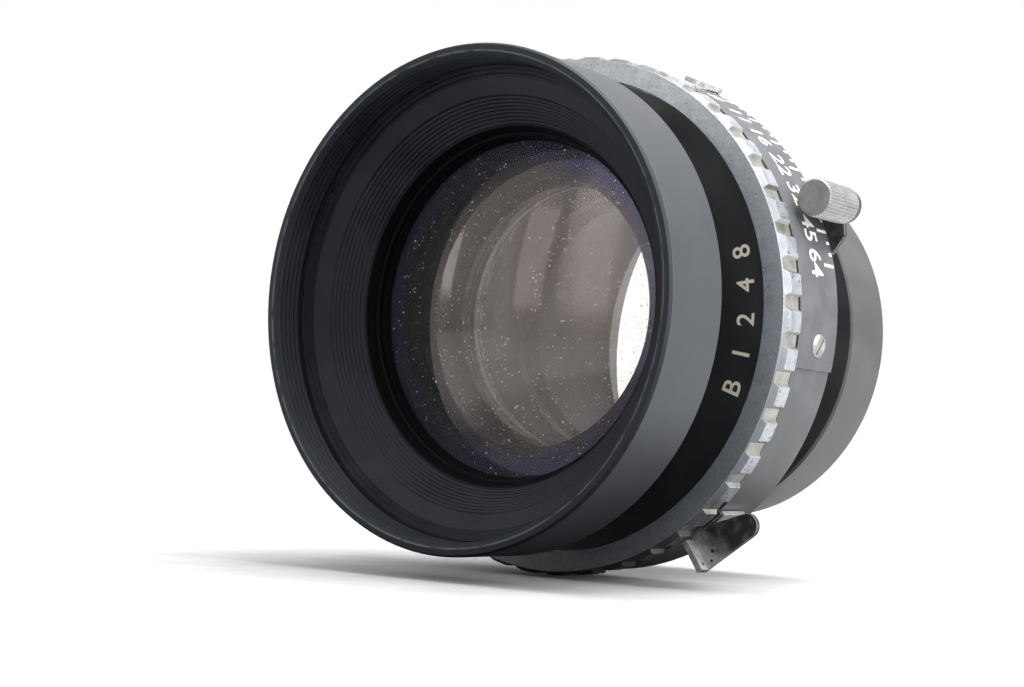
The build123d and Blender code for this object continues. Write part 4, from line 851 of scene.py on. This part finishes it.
@dataclass
class ApertureScale:
    """Numerals and strokes of the aperture scale."""

    stops: tuple[str, ...] = ("5.6", "8", "11", "16", "22", "32", "45", "64")
    first: float = 23.9
    step: float = 7.8
    numeral_height: float = 2.9 * MM
    numeral_width: float = 0.9
    numeral_from_rear: float = 4.65 * MM
    long_stroke: float = 2.4 * MM
    short_stroke: float = 0.75 * MM
    stroke_width: float = 0.40 * MM
    rear_gap: float = 0.25 * MM

    def build(self, ink: Material) -> None:
        """Make the marks.

        Args:
            ink: their enamel.
        """
        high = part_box("scale_strip")[1]
        radius, rear = high.z, high.y
        marks = Marks(bmesh.new())
        for number, stop in enumerate(self.stops):
            angle = self.first + number * self.step
            at = Marks.round_the_strip(radius, angle, rear - self.numeral_from_rear)
            marks.words(stop, self.numeral_height, self.numeral_width, at)
            middle = rear - self.rear_gap - self.long_stroke / 2
            marks.stroke(self.stroke_width, self.long_stroke, Marks.round_the_strip(radius, angle, middle))
            if number + 1 == len(self.stops):
                continue
            for third in (1, 2):
                middle = rear - self.rear_gap - self.short_stroke / 2
                between = Marks.round_the_strip(radius, angle + third * self.step / 3, middle)
                marks.stroke(self.stroke_width, self.short_stroke, between)
        show(marks.shape, "aperture_marks", ink, "lens", smooth=False)


@dataclass
class SpeedScale:
    """Two groups of plain numbers on the face plate and the index line on the speed ring."""

    groups: tuple[tuple[str, ...], ...] = (("B", "1", "2", "4", "8"), ("15", "30", "60", "125", "250"))
    first: tuple[float, ...] = (109.0, 289.0)
    steps: tuple[float, ...] = (8.5, 12.0)
    widths: tuple[float, ...] = (1.0, 0.82)
    height: float = 2.35 * MM
    inset: float = 2.4 * MM
    index_angle: float = 340.0
    index_length: float = 1.6 * MM
    index_width: float = 0.35 * MM
    dial_gap: float = 0.22 * MM
    dial_slope: float = 0.147

    def build(self, ink: Material, dark: Material) -> None:
        """Make the marks.

        Args:
            ink: enamel of the numbers.
            dark: filling of the index line.
        """
        low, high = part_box("face_plate")
        marks = Marks(bmesh.new())
        for first, step, width, group in zip(self.first, self.steps, self.widths, self.groups):
            for number, speed in enumerate(group):
                place = Marks.on_the_face(high.x - self.inset, first - number * step, low.y)
                marks.words(speed, self.height, width, place)
        show(marks.shape, "speed_numbers", ink, "lens", smooth=False)
        index = Marks(bmesh.new())
        middle = high.x + self.index_length
        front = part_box("speed_ring")[0].y + self.dial_slope * (middle - high.x - self.dial_gap)
        place = Marks.on_the_face(middle, self.index_angle, front, self.dial_slope)
        index.stroke(self.index_width, self.index_length, place)
        show(index.shape, "speed_index", dark, "speed_dial", smooth=False)


# ---------------------------------------------------------------- dressing of the solids
@dataclass
class Dresser:
    """Gives every solid its finish and soft shading."""

    rim: float
    thread_radius: float
    edge_radius: float
    crown_radius: float
    glass_radius: float = 21.9 * MM
    rear_rim: float = 1.5 * MM
    anodising: BlackFinish = BlackFinish("black_anodising", (0.040, 0.041, 0.044), 0.42, 0.2, shine=0.75)

    def finishes(self) -> dict[Slot, Material]:
        """Return the material of each slot."""
        made = {
            Slot.BLACK_PAINT: self.anodising,
            Slot.INTERIOR: BlackFinish("matt_black", (0.011, 0.013, 0.018), 0.46, 0.15, (0.05, 0.05, 0.07),
                                       shine=0.30, grain=0.0008 * MM, deep_radius=self.glass_radius),
            Slot.CASE: ScaleFinish("case_enamel", (0.078, 0.080, 0.084), 0.42),
            Slot.SCALE: ScaleFinish("scale_enamel", (0.085, 0.088, 0.094), 0.40),
            Slot.DIAL: DialFinish("dial_plating", self.edge_radius, self.crown_radius),
            # The face enamel's wide rubbed edges are partly wear and partly a painted highlight along the
            # face plate's rim.
            Slot.FACE: BlackFinish("face_enamel", (0.012, 0.013, 0.014), 0.36, 0.45, shine=1.0),
            Slot.BRIGHT: PlatedFinish("bright_plating", (0.66, 0.66, 0.65), 0.30),
            Slot.DARK: BlackenedFinish("blackened_steel"),
            Slot.STEEL: PlatedFinish("brushed_steel", (0.55, 0.55, 0.55), 0.34),
            Slot.SPRING: PlatedFinish("spring_wire", (0.40, 0.40, 0.42), 0.30),
            Slot.BRASS: PlatedFinish("machined_brass", (0.72, 0.52, 0.22), 0.30, 0.15),
            Slot.LEAF: BlackFinish("blackened_leaf", (0.020, 0.020, 0.022), 0.42, 0.25),
            Slot.INSULATOR: BlackFinish("pale_insulator", (0.50, 0.47, 0.40), 0.5, 0.1),
            Slot.FRONT_GLASS: GlassFinish("front_glass", (1.0, 0.88, 0.84), (0.55, 0.52, 0.95),
                                          rim_radius=21 * MM, dust_and_reflection=1.0),
            Slot.REAR_GLASS: GlassFinish("rear_glass", (0.85, 0.90, 1.0), (0.6, 0.7, 1.0),
                                         rim_radius=17 * MM, dust_and_reflection=0.3),
        }
        return {slot: finish.material() for slot, finish in made.items()}

    def dress(self, finishes: dict[Slot, Material]) -> None:
        """Give each solid its material and shading.

        Args:
            finishes: the material of each slot.
        """
        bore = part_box("front_crown_element")[1].x
        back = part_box("rear_crown_element")[1].x + self.rear_rim
        own = {
            "front_barrel": HoodFinish("hood_anodising", self.rim, self.thread_radius, bore).material(),
            "rear_barrel": replace(self.anodising, name="rear_anodising", deep_radius=back).material(),
            "cocking_lever": LeverFinish("lever_steel").material(),
            "iris_cam_ring": BlackFinish("blackened_brass", (0.022, 0.019, 0.015), 0.45, 0.1).material(),
            "cocking_strap": PlatedFinish("strap_steel", (0.85, 0.85, 0.84), 0.40, 0.2).material(),
            "aperture_knob": PlatedFinish("knob_nickel", (0.46, 0.47, 0.45), 0.34, 0.12, brushing=1.0,
                                          mottle=0.25).material(),
        }
        shading = soft_shading()
        slots = {row["node"]: Slot(row["material_slot"]) for row in frame["record"]["subparts"]}
        for name, solid in frame["nodes"].items():
            solid.data.materials.clear()
            solid.data.materials.append(own.get(name, finishes[slots[name]]))
            solid.modifiers.new("soft_shading", "NODES").node_group = shading
            LOG.info("%s dressed as %s", name, slots[name].value)


# ---------------------------------------------------------------- studio
@dataclass(frozen=True)
class Lamp:
    """Soft rectangular lamp that points at the lens."""

    name: str
    place: Vector
    size: tuple[float, float]
    power: float

    def build(self) -> None:
        """Hang the lamp."""
        light = bpy.data.lights.new(self.name, "AREA")
        light.shape, light.size, light.size_y, light.energy = "RECTANGLE", *self.size, self.power
        holder = bpy.data.objects.new(self.name, light)
        holder.location = self.place
        holder.rotation_mode = "QUATERNION"
        holder.rotation_quaternion = (-self.place).to_track_quat("-Z", "Y")
        bpy.context.scene.collection.objects.link(holder)


@dataclass(frozen=True)
class Window:
    """Glowing panel with soft edges, for the glass to reflect.

    The glow begins to fade at `fall`, counted from 0 in the middle to 0.5 at an edge.
    """

    name: str
    place: Vector
    size: tuple[float, float]
    strength: float
    fall: float = 0.2
    colour: Colour = (1.0, 0.97, 0.94)

    def material(self) -> Material:
        """Return the glow, which is clear at the panel's edges."""
        graph = Graph(self.name)
        flat = graph.node("ShaderNodeSeparateXYZ", {0: graph.node("ShaderNodeTexCoord").outputs["UV"]})
        soft = []
        for side in flat.outputs[:2]:
            off = graph.math("ABSOLUTE", graph.math("SUBTRACT", side, 0.5))
            soft.append(graph.fade(off, 0.5, self.fall))
        thick = graph.math("MULTIPLY", *soft)
        strength = graph.math("MULTIPLY", thick, self.strength)
        glow = graph.node("ShaderNodeEmission", {"Color": self.colour, "Strength": strength})
        clear = graph.node("ShaderNodeBsdfTransparent")
        mixed = graph.node("ShaderNodeMixShader", {0: thick, 1: clear.outputs[0], 2: glow.outputs[0]})
        return graph.close(mixed.outputs[0])

    def build(self) -> None:
        """Hang the panel."""
        panel = bmesh.new()
        panel.loops.layers.uv.new("UVMap")
        bmesh.ops.create_grid(panel, x_segments=1, y_segments=1, size=0.5, calc_uvs=True)
        turn = (-self.place).to_track_quat("-Z", "Y").to_matrix().to_4x4()
        spread = Matrix.Diagonal((*self.size, 1.0, 1.0))
        bmesh.ops.transform(panel, matrix=Matrix.Translation(self.place) @ turn @ spread, verts=panel.verts)
        mesh = bpy.data.meshes.new(self.name)
        panel.to_mesh(mesh)
        panel.free()
        mesh.materials.append(self.material())
        holder = bpy.data.objects.new(self.name, mesh)
        holder.visible_camera = holder.visible_diffuse = holder.visible_shadow = False
        bpy.context.scene.collection.objects.link(holder)
        holder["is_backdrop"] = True


@dataclass
class Studio:
    """Pale table, soft lamps, surroundings and camera."""

    floor_gap: float = 0.3 * MM
    floor_size: float = 6.0
    eye: Vector = Vector((131.97, -161.51, -17.56)) * MM
    right: Vector = Vector((0.79676, 0.60256, 0.04563))
    up: Vector = Vector((0.0, -0.07551, 0.99714))
    focal_length: float = 63.28
    papers: tuple[Colour, Colour] = ((0.60, 0.61, 0.62), (0.69, 0.69, 0.70))
    # colour of the painted shadow that reflections see under and in front of the lens
    painted_shadow: Colour = (0.05, 0.05, 0.055)
    shade_at: tuple[float, float, float] = (0.015, -0.085, -0.033)
    shade_reach: tuple[float, float] = (0.095, 0.050)
    glow_ahead: tuple[float, ...] = (-0.08, 0.32, 0.14, 0.92)
    glow_behind: tuple[float, ...] = (-0.55, 0.10, 0.10, 1.05)
    glow_through: float = 1.5
    turn_over: tuple[float, float] = (-0.35, 0.35)
    paper_reach: tuple[float, float] = (0.45, 0.10)
    under_reach: tuple[float, float] = (0.050, 0.020)
    lights: tuple[Lamp | Window, ...] = (
        Lamp("top_lamp", Vector((0.25, 0.10, 0.75)), (0.7, 0.7), 9.0),
        Window("tall_window", Vector((-0.82, -0.55, 0.23)), (0.11, 0.36), 3.5),
        Window("wide_window", Vector((-0.42, -0.76, 0.24)), (0.18, 0.50), 2.6, 0.30),
        Window("front_window", Vector((-0.34, -0.94, 0.20)), (0.80, 0.60), 0.7, 0.42),
        Lamp("side_lamp", Vector((0.8, 0.1, 0.25)), (0.5, 0.6), 5.0),
    )

    def floor_material(self) -> Material:
        """Return the table's pale paper: plain white away from the lens, with painted shadow under and in
        front of the lens, dark in what the lens reflects.
        """
        graph = Graph("pale_table")
        grain = graph.noise(9 * MM, 7.0, 0.65)
        flat = graph.math("SQRT", graph.math("ADD", graph.math("MULTIPLY", graph.across, graph.across),
                                             graph.math("MULTIPLY", graph.axial, graph.axial)))
        near = graph.fade(flat, *self.paper_reach)
        colour = graph.mix(graph.fade(grain, 0.3, 0.7), *self.papers)
        seen = graph.node("ShaderNodeLightPath").outputs["Is Camera Ray"]
        under = graph.fade(flat, *self.under_reach)
        shade = graph.node("ShaderNodeVectorMath", {0: graph.place, 1: self.shade_at}, operation="DISTANCE")
        ahead = graph.fade(shade.outputs["Value"], *self.shade_reach)
        # Painted shadow: dark under and in front of the lens, hidden from camera rays.
        dim = graph.math("MULTIPLY", graph.math("MAXIMUM", under, ahead), graph.math("SUBTRACT", 1.0, seen))
        paper = graph.node("ShaderNodeBsdfDiffuse", {"Color": graph.mix(dim, colour, self.painted_shadow)})
        white = graph.node("ShaderNodeEmission", {"Color": (1.0, 1.0, 1.0), "Strength": 1.0})
        away = graph.math("MULTIPLY", seen, graph.math("SUBTRACT", 1.0, near))
        mixed = graph.node("ShaderNodeMixShader", {0: away, 1: paper.outputs[0], 2: white.outputs[0]})
        return graph.close(mixed.outputs[0])

    def floor(self) -> None:
        """Lay the table just under the lens."""
        low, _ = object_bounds()
        shape = bmesh.new()
        bmesh.ops.create_grid(shape, x_segments=1, y_segments=1, size=self.floor_size)
        bmesh.ops.translate(shape, verts=shape.verts, vec=(0, 0, low.z - self.floor_gap))
        mesh = bpy.data.meshes.new("table")
        shape.to_mesh(mesh)
        shape.free()
        mesh.materials.append(self.floor_material())
        table = bpy.data.objects.new("table", mesh)
        bpy.context.scene.collection.objects.link(table)
        table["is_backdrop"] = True

    def surroundings(self) -> None:
        """Make the room: white to the eye, bright above and dim low in front for the reflections."""
        world = bpy.data.worlds.new("room")
        bpy.context.scene.world = world
        world.use_nodes = True
        tree = world.node_tree
        tree.nodes.clear()
        place = tree.nodes.new("ShaderNodeTexCoord").outputs["Generated"]
        parts = tree.nodes.new("ShaderNodeSeparateXYZ")
        tree.links.new(place, parts.inputs[0])

        def ramp(source: Socket, limits: tuple[Input, ...]) -> Socket:
            """Return a smooth ramp from From Min, From Max, To Min and To Max."""
            made = tree.nodes.new("ShaderNodeMapRange")
            made.interpolation_type = "SMOOTHSTEP"
            tree.links.new(source, made.inputs["Value"])
            for key, value in zip(("From Min", "From Max", "To Min", "To Max"), limits):
                if isinstance(value, Socket):
                    tree.links.new(value, made.inputs[key])
                else:
                    made.inputs[key].default_value = value
            return made.outputs[0]

        ahead = ramp(parts.outputs[2], self.glow_ahead)
        behind = ramp(parts.outputs[2], self.glow_behind)
        glow = ramp(parts.outputs[1], (*self.turn_over, ahead, behind))
        room, white = (tree.nodes.new("ShaderNodeBackground") for _ in range(2))
        room.inputs["Color"].default_value = white.inputs["Color"].default_value = (1.0, 1.0, 1.0, 1.0)
        tree.links.new(glow, room.inputs["Strength"])
        path = tree.nodes.new("ShaderNodeLightPath")
        seen = tree.nodes.new("ShaderNodeMath")
        seen.operation = "MAXIMUM"
        tree.links.new(path.outputs["Is Camera Ray"], seen.inputs[0])
        tree.links.new(path.outputs["Is Transmission Ray"], seen.inputs[1])
        mixed = tree.nodes.new("ShaderNodeMixShader")
        for source, target in ((seen.outputs[0], mixed.inputs[0]), (room.outputs[0], mixed.inputs[1]),
                               (white.outputs[0], mixed.inputs[2])):
            tree.links.new(source, target)
        through = ramp(path.outputs["Is Transmission Ray"], (0.0, 1.0, 1.0, self.glow_through))
        tree.links.new(through, white.inputs["Strength"])
        output = tree.nodes.new("ShaderNodeOutputWorld")
        tree.links.new(mixed.outputs[0], output.inputs[0])

    def camera(self) -> None:
        """Set the camera."""
        data = bpy.data.cameras.new("eye")
        data.lens, data.sensor_width = self.focal_length, 36.0
        data.clip_start, data.clip_end = 0.01, 50.0
        holder = bpy.data.objects.new("eye", data)
        rim = Vector((0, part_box("front_barrel")[0].y, 0))
        back = self.right.cross(self.up)
        turn = Matrix((self.right, self.up, back)).transposed().to_4x4()
        holder.matrix_world = Matrix.Translation(rim + self.eye) @ turn
        bpy.context.scene.collection.objects.link(holder)
        bpy.context.scene.camera = holder

    def build(self) -> None:
        """Make everything round the lens."""
        self.floor()
        self.surroundings()
        for light in self.lights:
            light.build()
        self.camera()
        bpy.context.scene.view_settings.view_transform = "Standard"


def main() -> None:
    """Dress the lens and set up its studio."""
    logging.basicConfig(level=logging.INFO, format="%(message)s")
    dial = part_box("speed_ring")[1]
    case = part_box("shutter_case")[1]
    thread = FilterThread()
    dresser = Dresser(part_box("front_barrel")[0].y, thread.radius, case.x, dial.z)
    finishes = dresser.finishes()
    dresser.dress(finishes)
    Optics().build(finishes)
    thread.build(finishes[Slot.INTERIOR])
    ApertureScale().build(InkFinish("white_enamel", (0.86, 0.86, 0.84)).material())
    dark = InkFinish("dark_filling", (0.02, 0.02, 0.02)).material()
    SpeedScale().build(InkFinish("cream_enamel", (0.96, 0.89, 0.72)).material(), dark)
    Studio().build()


if __name__ == "__main__":
    main()
